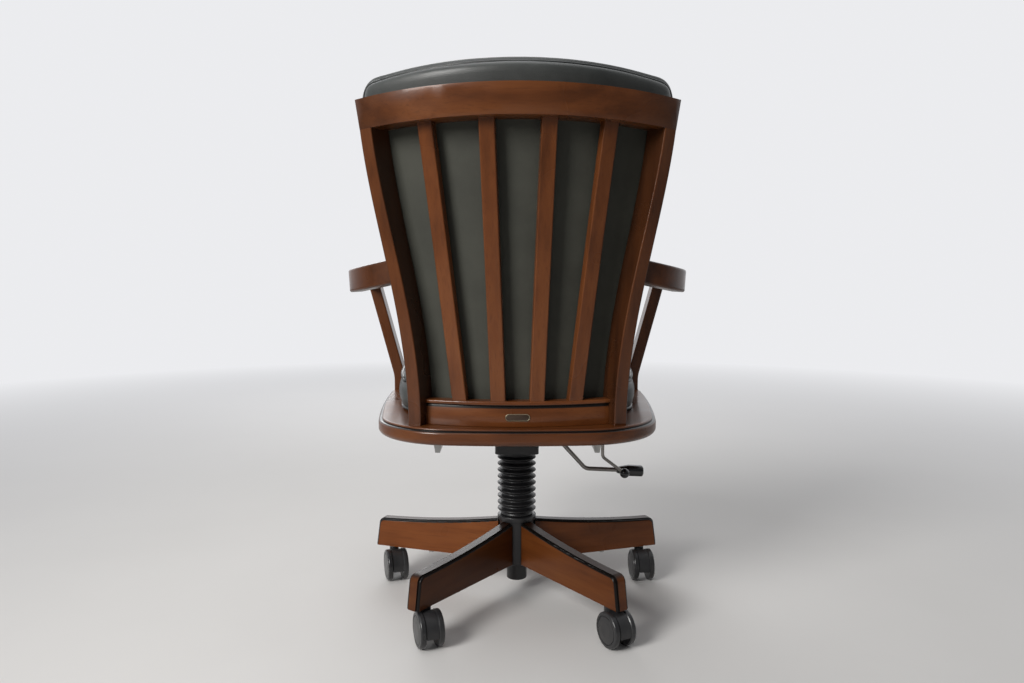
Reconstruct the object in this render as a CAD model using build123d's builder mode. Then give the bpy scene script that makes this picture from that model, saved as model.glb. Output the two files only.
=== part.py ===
from build123d import *
import os
from math import asin, atan2, cos, degrees, radians, sin, sqrt, tan

# Wooden swivel desk chair, in millimetres. +Z is up, +Y is the sitter's front,
# and the origin is on the floor under the middle of the gas column.

# Clearances and broken edges
RUN_CLEAR = 0.08
SIDE_PLAY = 0.4
SOFT_GAP = 0.5
SLOT_GAP = 0.2
EDGE_BREAK = 1

# Twin-wheel casters
WHEEL_DIA = 60
WHEEL_WIDTH = 10
WHEEL_DOME = 0.8
TREAD_ROUND = 3.5
RIM_WIDTH = 6
RIM_GROOVE = 1.2
HOOD_WIDTH = 20
HOOD_LOWER = 1
HOOD_WALL = 2.8
HOOD_WEB = 6
HOOD_OPEN_BELOW = 7
AXLE_BOSS_DIA = 18
STUB_DIA = 8
STUB_LENGTH = 7
CASTER_TRAIL = 20
CASTER_HEADINGS = (-70, -71, -69, -63, -84)
STEM_DIA = 11
STEM_BOSS_DIA = 18
STEM_DEPTH = 24
STEM_RISE = 36
SOCKET_WALL = 1.2
SOCKET_FLANGE_DIA = 21
SOCKET_FLANGE = 2
SOCKET_CAP_GAP = 2
SWIVEL_GAP = 0.5
STEM_CIRCLE = 260

# Five-leg base
LEG_COUNT = 5
FIRST_LEG_ANGLE = 90
LEG_WIDTH = 27
LEG_UNDERSIDE = 64
LEG_LENGTH = 292
LEG_TIP_HEIGHT = 54
LEG_ROOT_HEIGHT = 77
LEG_TOP_SAG = 5
LEG_END_RAKE = 8
LEG_TIP_ROUND = 12
LEG_EDGE_ROUND = 4
LEG_STRIP_WIDTH = 16
LEG_STRIP_RAISE = 1.8
HUB_DIA = 66
HUB_DROP = 3
COLLAR_DIA = 73
COLLAR_HEIGHT = 9
COLLAR_GAP = 2
ARM_BAR_WIDTH = 14
ARM_BAR_HEIGHT = 22
ARM_BAR_PROUD = 2
ARM_BAR_REACH = 195
LEG_BOLT_DIA = 6
LEG_BOLT_HEAD_DIA = 11
LEG_BOLT_HEAD = 4
LEG_BOLT_LENGTH = 42
LEG_BOLT_RADII = (85, 178)

# Gas column
COLUMN_DIA = 38
COLUMN_WALL = 2.7
COLUMN_BOTTOM = 28
COLUMN_LENGTH = 208
COLUMN_FLOOR = 4
BEARING_DIA = 26
BEARING_HEIGHT = 6
BUSH_LENGTH = 60
CYLINDER_DIA = 28
CYLINDER_WALL = 1.9
CYLINDER_LENGTH = 185
CYLINDER_GLAND = 10
CYLINDER_HEAD = 15
ROD_DIA = 10
ROD_SHOULDER_DIA = 18
ROD_SHOULDER = 4
PISTON_HEIGHT = 10
PISTON_TOP = 200
VALVE_DIA = 6
VALVE_LENGTH = 16
VALVE_TIP_CHAMFER = 1.5
VALVE_GAP = 0.3

# Ribbed sleeve over the column
BELLOWS_DIA = 73
BELLOWS_VALLEY_DIA = 56
BELLOWS_BORE_DIA = 50
BELLOWS_RIBS = 9
BELLOWS_CUFF_DIA = 61
BELLOWS_CUFF = 4

# Tilt mechanism
HOUSING_WIDTH = 80
HOUSING_REAR = 60
HOUSING_FRONT = 95
HOUSING_UNDERSIDE = 280
HOUSING_REAR_HEIGHT = 28
HOUSING_HEIGHT = 48
HOUSING_WALL = 3
HOUSING_ROUND = 8
SOCKET_TUBE_DIA = 40
SOCKET_TUBE_DROP = 6
TILT_AXIS_Y = 45
TILT_AXIS_Z = 312
TILT_PIN_DIA = 14
TILT_EAR_THICK = 4
TILT_EAR_RADIUS = 15
TILT_EAR_GAP = 1
PIN_PROUD = 2.5
BUSHING_DIA = 27
BUSHING_LENGTH = 30
BUSHING_GAP = 2.5
PLATE_THICK = 3
PLATE_WIDTH = 228
PLATE_REAR = 85
PLATE_FRONT = 125
PLATE_ROUND = 14

# Tension knob under the front of the housing
TENSION_Y = 72
TENSION_SCREW_DIA = 10
TENSION_SCREW_INSIDE = 16
TENSION_COLLAR_DIA = 22
TENSION_COLLAR = 4
KNOB_DIA = 44
KNOB_HEIGHT = 24
KNOB_DROP = 12
KNOB_LOBES = 6
KNOB_LOBE_DIA = 14
KNOB_EDGE_ROUND = 2

# Height lever with its paddle
LEVER_DIA = 8
LEVER_PIVOT_X = 48
LEVER_PIVOT_Z = 311
LEVER_INNER_X = -6
LEVER_KNEE_X = 66
LEVER_LOW_X = 131
LEVER_LOW_Z = 240
LEVER_END_X = 222
LEVER_END_Z = 236
LEVER_BEND = 16
LEVER_EYE_DIA = 14
LEVER_EYE_WIDTH = 13.4
LEVER_PIN_DIA = 5
LEVER_LUG_THICK = 3
LEVER_LUG_REACH = 15
LEVER_WINDOW_DIA = 13
PADDLE_START_X = 190
PADDLE_LENGTH = 50
PADDLE_ROOT = (13, 11)
PADDLE_TIP = (25, 20)
PADDLE_ROUND = 4
PADDLE_FULLNESS = 0.45

# Tilt lock lever with its ball
LOCK_DIA = 6
LOCK_Y = -45
LOCK_Z = 305
LOCK_INNER_X = 66
LOCK_TAB_XS = (70, 106)
LOCK_TAB_THICK = 4
LOCK_TAB_RADIUS = 8
LOCK_DROP_X = 158
LOCK_KNEE_Z = 273
LOCK_BALL_X = 199
LOCK_BALL_Z = 242
LOCK_BEND = 11
BALL_DIA = 18

# Seat board, its rails and the cushion
SEAT_TOP = 366
BOARD_THICK = 27
BOARD_STEP = 4
BOARD_STEP_INSET = 6
BOARD_STEP_ROUND = 2.5
BOARD_EDGE_ROUND = 4.5
BOARD_UNDER_ROUND = 9
BOARD_REAR_Y = -262
BOARD_REAR_CORNER = (222, -240)
BOARD_SIDE_MID = (253, -10)
BOARD_FRONT_CORNER = (264, 232)
BOARD_FRONT_Y = 256
BOARD_REAR_ROUND = 140
BOARD_FRONT_ROUND = 60
RAIL_X = 132
RAIL_TOP_WIDTH = 16
RAIL_FOOT_WIDTH = 8
RAIL_DEPTH = 24
RAIL_WALL = 2
RAIL_FLANGE = 14
RAIL_REAR = -195
RAIL_FRONT = 160
SCREW_DIA = 5
SCREW_HEAD_DIA = 10
SCREW_HEAD = 3
SCREW_BITE = 16
SCREW_INSET = 14
CUSHION_HEIGHT = 80
CUSHION_REAR_Y = -144
CUSHION_REAR_CORNER = (203, -126)
CUSHION_SIDE_MID = (227, 10)
CUSHION_FRONT_CORNER = (232, 214)
CUSHION_FRONT_Y = 236
CUSHION_ROUND = 48
CUSHION_SECTIONS = ((0, 0.95), (0.3, 0.975), (0.6, 1.0), (0.78, 0.99), (0.89, 0.94), (0.96, 0.8), (1, 0.5))

# Bowed back frame
BACK_RADIUS = 430
BACK_FOOT_Y = -254
BACK_LEAN = 86
BACK_BOW = 10
BACK_TOP = 882
FLARE_BIAS = 1.12
POST_WIDTH = 23
POST_DEPTH = 42
POST_FOOT_X = 177
POST_TOP_X = 244
POST_LEVELS = 6
POST_EDGE_ROUND = 2
TOP_RAIL_HEIGHT = 44
TOP_RAIL_ARCH = 10
TOP_RAIL_FOOT_X = 239.5
TOP_RAIL_HEAD_X = 249
BOTTOM_RAIL_HEIGHT = 34
BOTTOM_RAIL_RECESS = 18
BOTTOM_RAIL_SETBACK = 8
BOTTOM_RAIL_TENON = 6
CAP_HEIGHT = 8
CAP_LIP = 4
CAP_FRONT_LIP = 2
CAP_ROUND = 3
SLAT_COUNT = 4
SLAT_WIDTH = 24
SLAT_THICK = 16
SLAT_RECESS = 20
SLAT_FOOT_PITCH = 62
SLAT_TOP_PITCH = 94
SLAT_TENON = 6
SLAT_LEVELS = 4
BOLT_DIA = 8
BOLT_HEAD_DIA = 16
BOLT_HEAD = 6
BOLT_BITE = 40

# Padded back
PANEL_THICK = 3
PANEL_INSET = 8
PANEL_TOP = 868
PAD_BOTTOM = 394
PAD_TOP = 934
PAD_THICK = 52
PAD_EDGE_THICK = 28
PAD_FOOT_X = 168
PAD_TOP_X = 248
PAD_TOP_ARCH = 20
PAD_CORNER = 34
PAD_EDGE_ROUND = 9
PAD_LEVELS = 5

# Arms and their struts
ARM_THICK = 25
ARM_HEIGHT = 38
ARM_TILT = 15
ARM_EDGE_ROUND = 4
ARM_POST_Z = 615
ARM_POST_DEPTH = 20
ARM_TENON = 10
ARM_REACH = 93
ARM_CORNER_Z = 598
ARM_FRONT_X = 301
ARM_FRONT_Y = 222
ARM_FRONT_Z = 597
ARM_BEND = 95
STRUT_THICK = 22
STRUT_WIDTH = 40
STRUT_Y = 190
STRUT_KNEE = 30
STRUT_BEND = 80
STRUT_EDGE_ROUND = 3

os.makedirs("parts", exist_ok=True)

UP = Vector(0, 0, 1)
LEG_ANGLES = [FIRST_LEG_ANGLE + 360 / LEG_COUNT * index for index in range(LEG_COUNT)]
WHEEL_R = WHEEL_DIA / 2
BOARD_UNDERSIDE = SEAT_TOP - BOARD_THICK
PLATE_UNDERSIDE = BOARD_UNDERSIDE - PLATE_THICK
COLUMN_TOP = COLUMN_BOTTOM + COLUMN_LENGTH
COLLAR_BOTTOM = LEG_UNDERSIDE + LEG_ROOT_HEIGHT + LEG_STRIP_RAISE + COLLAR_GAP
COLLAR_TOP = COLLAR_BOTTOM + COLLAR_HEIGHT
SOCKET_TUBE_BOTTOM = HOUSING_UNDERSIDE - SOCKET_TUBE_DROP
CYLINDER_TOP = LEVER_PIVOT_Z - LEVER_DIA / 2 - VALVE_GAP - VALVE_LENGTH / 2
CYLINDER_BOTTOM = CYLINDER_TOP - CYLINDER_LENGTH
ROD_SEAT = COLUMN_BOTTOM + COLUMN_FLOOR + BEARING_HEIGHT
STEM_BOTTOM = LEG_UNDERSIDE - SOCKET_FLANGE - STEM_DEPTH
TOP_RAIL_UNDERSIDE = BACK_TOP - TOP_RAIL_HEIGHT
BOTTOM_RAIL_TOP = SEAT_TOP + BOTTOM_RAIL_HEIGHT
ARCH_RADIUS = (POST_TOP_X**2 + TOP_RAIL_ARCH**2) / (2 * TOP_RAIL_ARCH)
BACK_SPAN = 2 * BACK_RADIUS


def save(piece, label):
    piece.part.label = label
    export_step(piece.part, f"parts/{label}.step")


def radial_plane(angle):
    """Upright plane through the column axis: X runs outwards along the leg, Y is up."""
    outward = Vector(cos(radians(angle)), sin(radians(angle)), 0)
    return Plane(origin=(0, 0, 0), x_dir=outward, z_dir=outward.cross(UP))


def on_leg(angle, radius, z=0):
    return (radius * cos(radians(angle)), radius * sin(radians(angle)), z)


# Wooden legs


def leg_outline(raised):
    tip_x = LEG_LENGTH + raised
    tip_z = LEG_UNDERSIDE + LEG_TIP_HEIGHT + raised
    root_x = HUB_DIA / 2
    root_z = LEG_UNDERSIDE + LEG_ROOT_HEIGHT + raised
    sag_point = ((root_x + tip_x) / 2, (root_z + tip_z) / 2 - LEG_TOP_SAG)
    with BuildLine() as side:
        Line((root_x, root_z), (root_x, LEG_UNDERSIDE))
        Line((root_x, LEG_UNDERSIDE), (tip_x, LEG_UNDERSIDE))
        Line((tip_x, LEG_UNDERSIDE), (tip_x - LEG_END_RAKE, tip_z))
        ThreePointArc((tip_x - LEG_END_RAKE, tip_z), sag_point, (root_x, root_z))
    make_face(side.edges())


def tip_corner(sketch):
    """The leg's upper outer corner: the highest of its two outermost points."""
    return sketch.vertices().sort_by(Axis.X)[-2:].sort_by(Axis.Y)[-1:]


def make_leg(label, angle):
    plane = radial_plane(angle)
    with BuildPart() as leg:
        for width, raised in ((LEG_WIDTH, 0), (LEG_STRIP_WIDTH, LEG_STRIP_RAISE)):
            with BuildSketch(plane) as side:
                leg_outline(raised)
                fillet(tip_corner(side), LEG_TIP_ROUND)
            extrude(amount=width / 2, both=True)
            if raised == 0:
                rims = leg.edges().filter_by(
                    lambda edge: abs(plane.to_local_coords(edge.center()).Z) > width / 2 - 0.1
                    and plane.to_local_coords(edge.center()).Y > LEG_UNDERSIDE + 1
                    and plane.to_local_coords(edge.center()).X > HUB_DIA / 2 + 1
                )
                fillet(rims, LEG_EDGE_ROUND)
        # Slot for the steel bar of the hub
        with BuildSketch(plane):
            with Locations((0, LEG_UNDERSIDE - ARM_BAR_PROUD)):
                Rectangle(
                    ARM_BAR_REACH + SLOT_GAP, ARM_BAR_HEIGHT + SLOT_GAP, align=(Align.MIN, Align.MIN)
                )
        extrude(amount=ARM_BAR_WIDTH / 2 + SLOT_GAP, both=True, mode=Mode.SUBTRACT)
        # Bolt holes and the caster socket's hole, bored from below
        with BuildSketch(Plane.XY.offset(LEG_UNDERSIDE)):
            with Locations(*[on_leg(angle, radius) for radius in LEG_BOLT_RADII]):
                Circle(LEG_BOLT_DIA / 2)
        bolt_top = LEG_UNDERSIDE - ARM_BAR_PROUD + LEG_BOLT_LENGTH
        extrude(amount=bolt_top - LEG_UNDERSIDE, mode=Mode.SUBTRACT)
        with BuildSketch(Plane.XY.offset(LEG_UNDERSIDE)):
            with Locations(on_leg(angle, STEM_CIRCLE)):
                Circle(STEM_DIA / 2 + SOCKET_WALL)
        extrude(amount=STEM_RISE + SOCKET_CAP_GAP + SOCKET_WALL, mode=Mode.SUBTRACT)
    save(leg, label)


for index, angle in enumerate(LEG_ANGLES):
    make_leg(f"leg_{index + 1}", angle)


# Steel hub with a bar under each leg

with BuildPart() as base_hub:
    with BuildSketch(Plane.XY.offset(LEG_UNDERSIDE - HUB_DROP)):
        Circle(HUB_DIA / 2)
    extrude(amount=COLLAR_BOTTOM - LEG_UNDERSIDE + HUB_DROP)
    with BuildSketch(Plane.XY.offset(COLLAR_BOTTOM)):
        Circle(COLLAR_DIA / 2)
    extrude(amount=COLLAR_HEIGHT)
    fillet(base_hub.edges().group_by(Axis.Z)[-1], COLLAR_HEIGHT / 4)
    chamfer(base_hub.edges().group_by(Axis.Z)[0], HUB_DROP / 2)
    for angle in LEG_ANGLES:
        with BuildSketch(radial_plane(angle)):
            with Locations((0, LEG_UNDERSIDE - ARM_BAR_PROUD)):
                Rectangle(ARM_BAR_REACH, ARM_BAR_HEIGHT, align=(Align.MIN, Align.MIN))
        extrude(amount=ARM_BAR_WIDTH / 2, both=True)
        with BuildSketch(Plane.XY.offset(LEG_UNDERSIDE - ARM_BAR_PROUD)):
            with Locations(*[on_leg(angle, radius) for radius in LEG_BOLT_RADII]):
                Circle(LEG_BOLT_DIA / 2)
        extrude(amount=ARM_BAR_HEIGHT, mode=Mode.SUBTRACT)
    with BuildSketch(Plane.XY.offset(LEG_UNDERSIDE - HUB_DROP)):
        Circle(COLUMN_DIA / 2)
    extrude(amount=COLLAR_TOP - LEG_UNDERSIDE + HUB_DROP, mode=Mode.SUBTRACT)
save(base_hub, "base_hub")

with BuildPart() as leg_bolts:
    for angle in LEG_ANGLES:
        for radius in LEG_BOLT_RADII:
            with BuildSketch(Plane.XY.offset(LEG_UNDERSIDE - ARM_BAR_PROUD - LEG_BOLT_HEAD)):
                with Locations(on_leg(angle, radius)):
                    RegularPolygon(LEG_BOLT_HEAD_DIA / 2, 6, rotation=angle)
            extrude(amount=LEG_BOLT_HEAD)
            with BuildSketch(Plane.XY.offset(LEG_UNDERSIDE - ARM_BAR_PROUD)):
                with Locations(on_leg(angle, radius)):
                    Circle(LEG_BOLT_DIA / 2)
            extrude(amount=LEG_BOLT_LENGTH)
save(leg_bolts, "leg_bolts")

# Caster sockets in the legs and the stems pressed into them

with BuildPart() as caster_sockets:
    for angle in LEG_ANGLES:
        for bottom, outer, height in (
            (LEG_UNDERSIDE - SOCKET_FLANGE, SOCKET_FLANGE_DIA / 2, SOCKET_FLANGE),
            (LEG_UNDERSIDE, STEM_DIA / 2 + SOCKET_WALL, STEM_RISE + SOCKET_CAP_GAP + SOCKET_WALL),
        ):
            with BuildSketch(Plane.XY.offset(bottom)):
                with Locations(on_leg(angle, STEM_CIRCLE)):
                    Circle(outer)
            extrude(amount=height)
        with BuildSketch(Plane.XY.offset(LEG_UNDERSIDE - SOCKET_FLANGE)):
            with Locations(on_leg(angle, STEM_CIRCLE)):
                Circle(STEM_DIA / 2)
        extrude(amount=SOCKET_FLANGE + STEM_RISE + SOCKET_CAP_GAP, mode=Mode.SUBTRACT)
save(caster_sockets, "caster_sockets")

with BuildPart() as caster_stems:
    for angle in LEG_ANGLES:
        with BuildSketch(Plane.XY.offset(STEM_BOTTOM)):
            with Locations(on_leg(angle, STEM_CIRCLE)):
                Circle(STEM_DIA / 2)
        extrude(amount=STEM_DEPTH + SOCKET_FLANGE + STEM_RISE)
    chamfer(caster_stems.edges().group_by(Axis.Z)[-1], EDGE_BREAK)
save(caster_stems, "caster_stems")


# Casters: a hood on each stem and two wheels on the hood's stub axles


def caster_frame(angle, heading):
    trail = (cos(radians(heading)), sin(radians(heading)), 0)
    return Plane(origin=on_leg(angle, STEM_CIRCLE), x_dir=trail, z_dir=UP)


def make_hood(label, frame):
    side = Plane(origin=frame.origin, x_dir=frame.x_dir, z_dir=-frame.y_dir)
    hood_r = WHEEL_R - HOOD_LOWER
    neck_top = LEG_UNDERSIDE - SOCKET_FLANGE - SWIVEL_GAP
    axle = (CASTER_TRAIL, WHEEL_R)
    with BuildPart() as hood:
        with BuildSketch(side):
            with Locations(axle):
                Circle(hood_r)
                Circle(hood_r - HOOD_WALL, mode=Mode.SUBTRACT)
                with Locations((0, -HOOD_OPEN_BELOW)):
                    Rectangle(WHEEL_DIA, WHEEL_DIA, align=(Align.CENTER, Align.MAX), mode=Mode.SUBTRACT)
        extrude(amount=HOOD_WIDTH / 2, both=True)
        with BuildSketch(side):
            with Locations(axle):
                Circle(hood_r - HOOD_WALL / 2)
                with Locations((0, -HOOD_OPEN_BELOW)):
                    Rectangle(WHEEL_DIA, WHEEL_DIA, align=(Align.CENTER, Align.MAX), mode=Mode.SUBTRACT)
                Circle(AXLE_BOSS_DIA / 2)
        extrude(amount=HOOD_WEB / 2, both=True)
        for diameter, reach in ((AXLE_BOSS_DIA, 0), (STUB_DIA, STUB_LENGTH)):
            with BuildSketch(side):
                with Locations(axle):
                    Circle(diameter / 2)
            extrude(amount=HOOD_WIDTH / 2 + reach, both=True)
        with BuildSketch(frame.offset(WHEEL_R)):
            Circle(STEM_BOSS_DIA / 2)
        extrude(amount=neck_top - WHEEL_R)
        chamfer(hood.edges().group_by(Axis.Z)[-1], EDGE_BREAK)
        with BuildSketch(frame.offset(STEM_BOTTOM - SWIVEL_GAP)):
            Circle(STEM_DIA / 2 + RUN_CLEAR)
        extrude(amount=neck_top - STEM_BOTTOM + SWIVEL_GAP, mode=Mode.SUBTRACT)
    save(hood, label)


def make_wheel(label, frame, side):
    axle_point = frame.from_local_coords((CASTER_TRAIL, 0, WHEEL_R))
    outwards = frame.y_dir * side
    section = Plane(origin=axle_point, x_dir=outwards, z_dir=outwards.cross(UP))
    inner = HOOD_WIDTH / 2 + SIDE_PLAY
    outer = inner + WHEEL_WIDTH
    bore_r = STUB_DIA / 2 + RUN_CLEAR
    bore_end = HOOD_WIDTH / 2 + STUB_LENGTH + SIDE_PLAY
    rim_r = WHEEL_R - RIM_WIDTH
    shoulder = TREAD_ROUND * (1 - sqrt(0.5))
    with BuildPart() as wheel:
        with BuildSketch(section):
            with BuildLine():
                Polyline(
                    (bore_end, 0),
                    (bore_end, bore_r),
                    (inner, bore_r),
                    (inner, WHEEL_R - TREAD_ROUND / 2),
                    (inner + TREAD_ROUND / 2, WHEEL_R),
                    (outer - TREAD_ROUND, WHEEL_R),
                )
                ThreePointArc(
                    (outer - TREAD_ROUND, WHEEL_R),
                    (outer - shoulder, WHEEL_R - shoulder),
                    (outer, WHEEL_R - TREAD_ROUND),
                )
                Polyline(
                    (outer, WHEEL_R - TREAD_ROUND),
                    (outer, rim_r),
                    (outer - RIM_GROOVE, rim_r - RIM_GROOVE / 2),
                    (outer - RIM_GROOVE, rim_r - RIM_GROOVE),
                    (outer, rim_r - RIM_GROOVE * 1.5),
                )
                Polyline(
                    (outer, rim_r - RIM_GROOVE * 1.5),
                    (outer + WHEEL_DOME, rim_r / 2),
                    (outer + WHEEL_DOME, 0),
                    (bore_end, 0),
                )
            make_face()
        revolve(axis=Axis(axle_point, outwards))
    save(wheel, label)


for index, angle in enumerate(LEG_ANGLES):
    frame = caster_frame(angle, CASTER_HEADINGS[index])
    make_hood(f"caster_hood_{index + 1}", frame)
    make_wheel(f"caster_wheel_{index + 1}_left", frame, 1)
    make_wheel(f"caster_wheel_{index + 1}_right", frame, -1)


# Gas column: outer tube, bearing, guide bush, rod and cylinder


def turned(outline):
    """A round piece about the column axis, from its half outline of radius and height."""
    with BuildSketch(Plane.XZ) as half:
        with BuildLine():
            Polyline(*outline, close=True)
        make_face()
    revolve(half.sketch, axis=Axis.Z)


column_bore = COLUMN_DIA / 2 - COLUMN_WALL
with BuildPart() as column_tube:
    turned(
        [
            (ROD_DIA / 2 + RUN_CLEAR, COLUMN_BOTTOM),
            (COLUMN_DIA / 2 - EDGE_BREAK, COLUMN_BOTTOM),
            (COLUMN_DIA / 2, COLUMN_BOTTOM + EDGE_BREAK),
            (COLUMN_DIA / 2, COLUMN_TOP),
            (column_bore, COLUMN_TOP),
            (column_bore, COLUMN_BOTTOM + COLUMN_FLOOR),
            (ROD_DIA / 2 + RUN_CLEAR, COLUMN_BOTTOM + COLUMN_FLOOR),
        ]
    )
save(column_tube, "column_tube")

with BuildPart() as thrust_bearing:
    turned(
        [
            (ROD_DIA / 2 + RUN_CLEAR, COLUMN_BOTTOM + COLUMN_FLOOR),
            (BEARING_DIA / 2, COLUMN_BOTTOM + COLUMN_FLOOR),
            (BEARING_DIA / 2, ROD_SEAT),
            (ROD_DIA / 2 + RUN_CLEAR, ROD_SEAT),
        ]
    )
save(thrust_bearing, "thrust_bearing")

with BuildPart() as guide_bush:
    turned(
        [
            (CYLINDER_DIA / 2 + RUN_CLEAR, COLUMN_TOP - BUSH_LENGTH),
            (column_bore, COLUMN_TOP - BUSH_LENGTH),
            (column_bore, COLUMN_TOP),
            (CYLINDER_DIA / 2 + RUN_CLEAR, COLUMN_TOP),
        ]
    )
save(guide_bush, "guide_bush")

cylinder_bore = CYLINDER_DIA / 2 - CYLINDER_WALL
with BuildPart() as piston_rod:
    turned(
        [
            (0, COLUMN_BOTTOM + EDGE_BREAK),
            (ROD_DIA / 2, COLUMN_BOTTOM + EDGE_BREAK),
            (ROD_DIA / 2, ROD_SEAT),
            (ROD_SHOULDER_DIA / 2, ROD_SEAT),
            (ROD_SHOULDER_DIA / 2, ROD_SEAT + ROD_SHOULDER),
            (ROD_DIA / 2, ROD_SEAT + ROD_SHOULDER),
            (ROD_DIA / 2, PISTON_TOP - PISTON_HEIGHT),
            (cylinder_bore - RUN_CLEAR, PISTON_TOP - PISTON_HEIGHT),
            (cylinder_bore - RUN_CLEAR, PISTON_TOP),
            (0, PISTON_TOP),
        ]
    )
save(piston_rod, "piston_rod")

with BuildPart() as gas_cylinder:
    turned(
        [
            (ROD_DIA / 2 + RUN_CLEAR, CYLINDER_BOTTOM),
            (CYLINDER_DIA / 2, CYLINDER_BOTTOM),
            (CYLINDER_DIA / 2, CYLINDER_TOP),
            (VALVE_DIA / 2 + RUN_CLEAR, CYLINDER_TOP),
            (VALVE_DIA / 2 + RUN_CLEAR, CYLINDER_TOP - CYLINDER_HEAD),
            (cylinder_bore, CYLINDER_TOP - CYLINDER_HEAD),
            (cylinder_bore, CYLINDER_BOTTOM + CYLINDER_GLAND),
            (ROD_DIA / 2 + RUN_CLEAR, CYLINDER_BOTTOM + CYLINDER_GLAND),
        ]
    )
save(gas_cylinder, "gas_cylinder")

valve_top = LEVER_PIVOT_Z - LEVER_DIA / 2 - VALVE_GAP
with BuildPart() as valve_pin:
    turned(
        [
            (0, valve_top - VALVE_LENGTH),
            (VALVE_DIA / 2, valve_top - VALVE_LENGTH),
            (VALVE_DIA / 2, valve_top - VALVE_TIP_CHAMFER),
            (VALVE_DIA / 2 - VALVE_TIP_CHAMFER, valve_top),
            (0, valve_top),
        ]
    )
save(valve_pin, "valve_pin")

# Ribbed rubber sleeve: each rib is a ruled band through four circles

bellows_bottom = COLLAR_TOP + SOFT_GAP
bellows_top = SOCKET_TUBE_BOTTOM - SOFT_GAP
rib_pitch = (bellows_top - bellows_bottom - 2 * BELLOWS_CUFF) / BELLOWS_RIBS
with BuildPart() as bellows:
    cuff_edge = BELLOWS_CUFF * 0.8
    rib_circles = [(bellows_bottom, BELLOWS_CUFF_DIA), (bellows_bottom + cuff_edge, BELLOWS_CUFF_DIA)]
    for rib in range(BELLOWS_RIBS):
        rib_start = bellows_bottom + BELLOWS_CUFF + rib * rib_pitch
        for share, diameter in (
            (0.1, BELLOWS_VALLEY_DIA),
            (0.38, BELLOWS_DIA),
            (0.62, BELLOWS_DIA),
            (0.9, BELLOWS_VALLEY_DIA),
        ):
            rib_circles.append((rib_start + share * rib_pitch, diameter))
    rib_circles.append((bellows_top - cuff_edge, BELLOWS_CUFF_DIA))
    rib_circles.append((bellows_top, BELLOWS_CUFF_DIA))
    for height, diameter in rib_circles:
        with BuildSketch(Plane.XY.offset(height)):
            Circle(diameter / 2)
    loft(ruled=True)
    with BuildSketch(Plane.XY.offset(bellows_bottom)):
        Circle(BELLOWS_BORE_DIA / 2)
    extrude(amount=bellows_top - bellows_bottom, mode=Mode.SUBTRACT)
save(bellows, "bellows")


# Tilt mechanism under the seat

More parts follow.
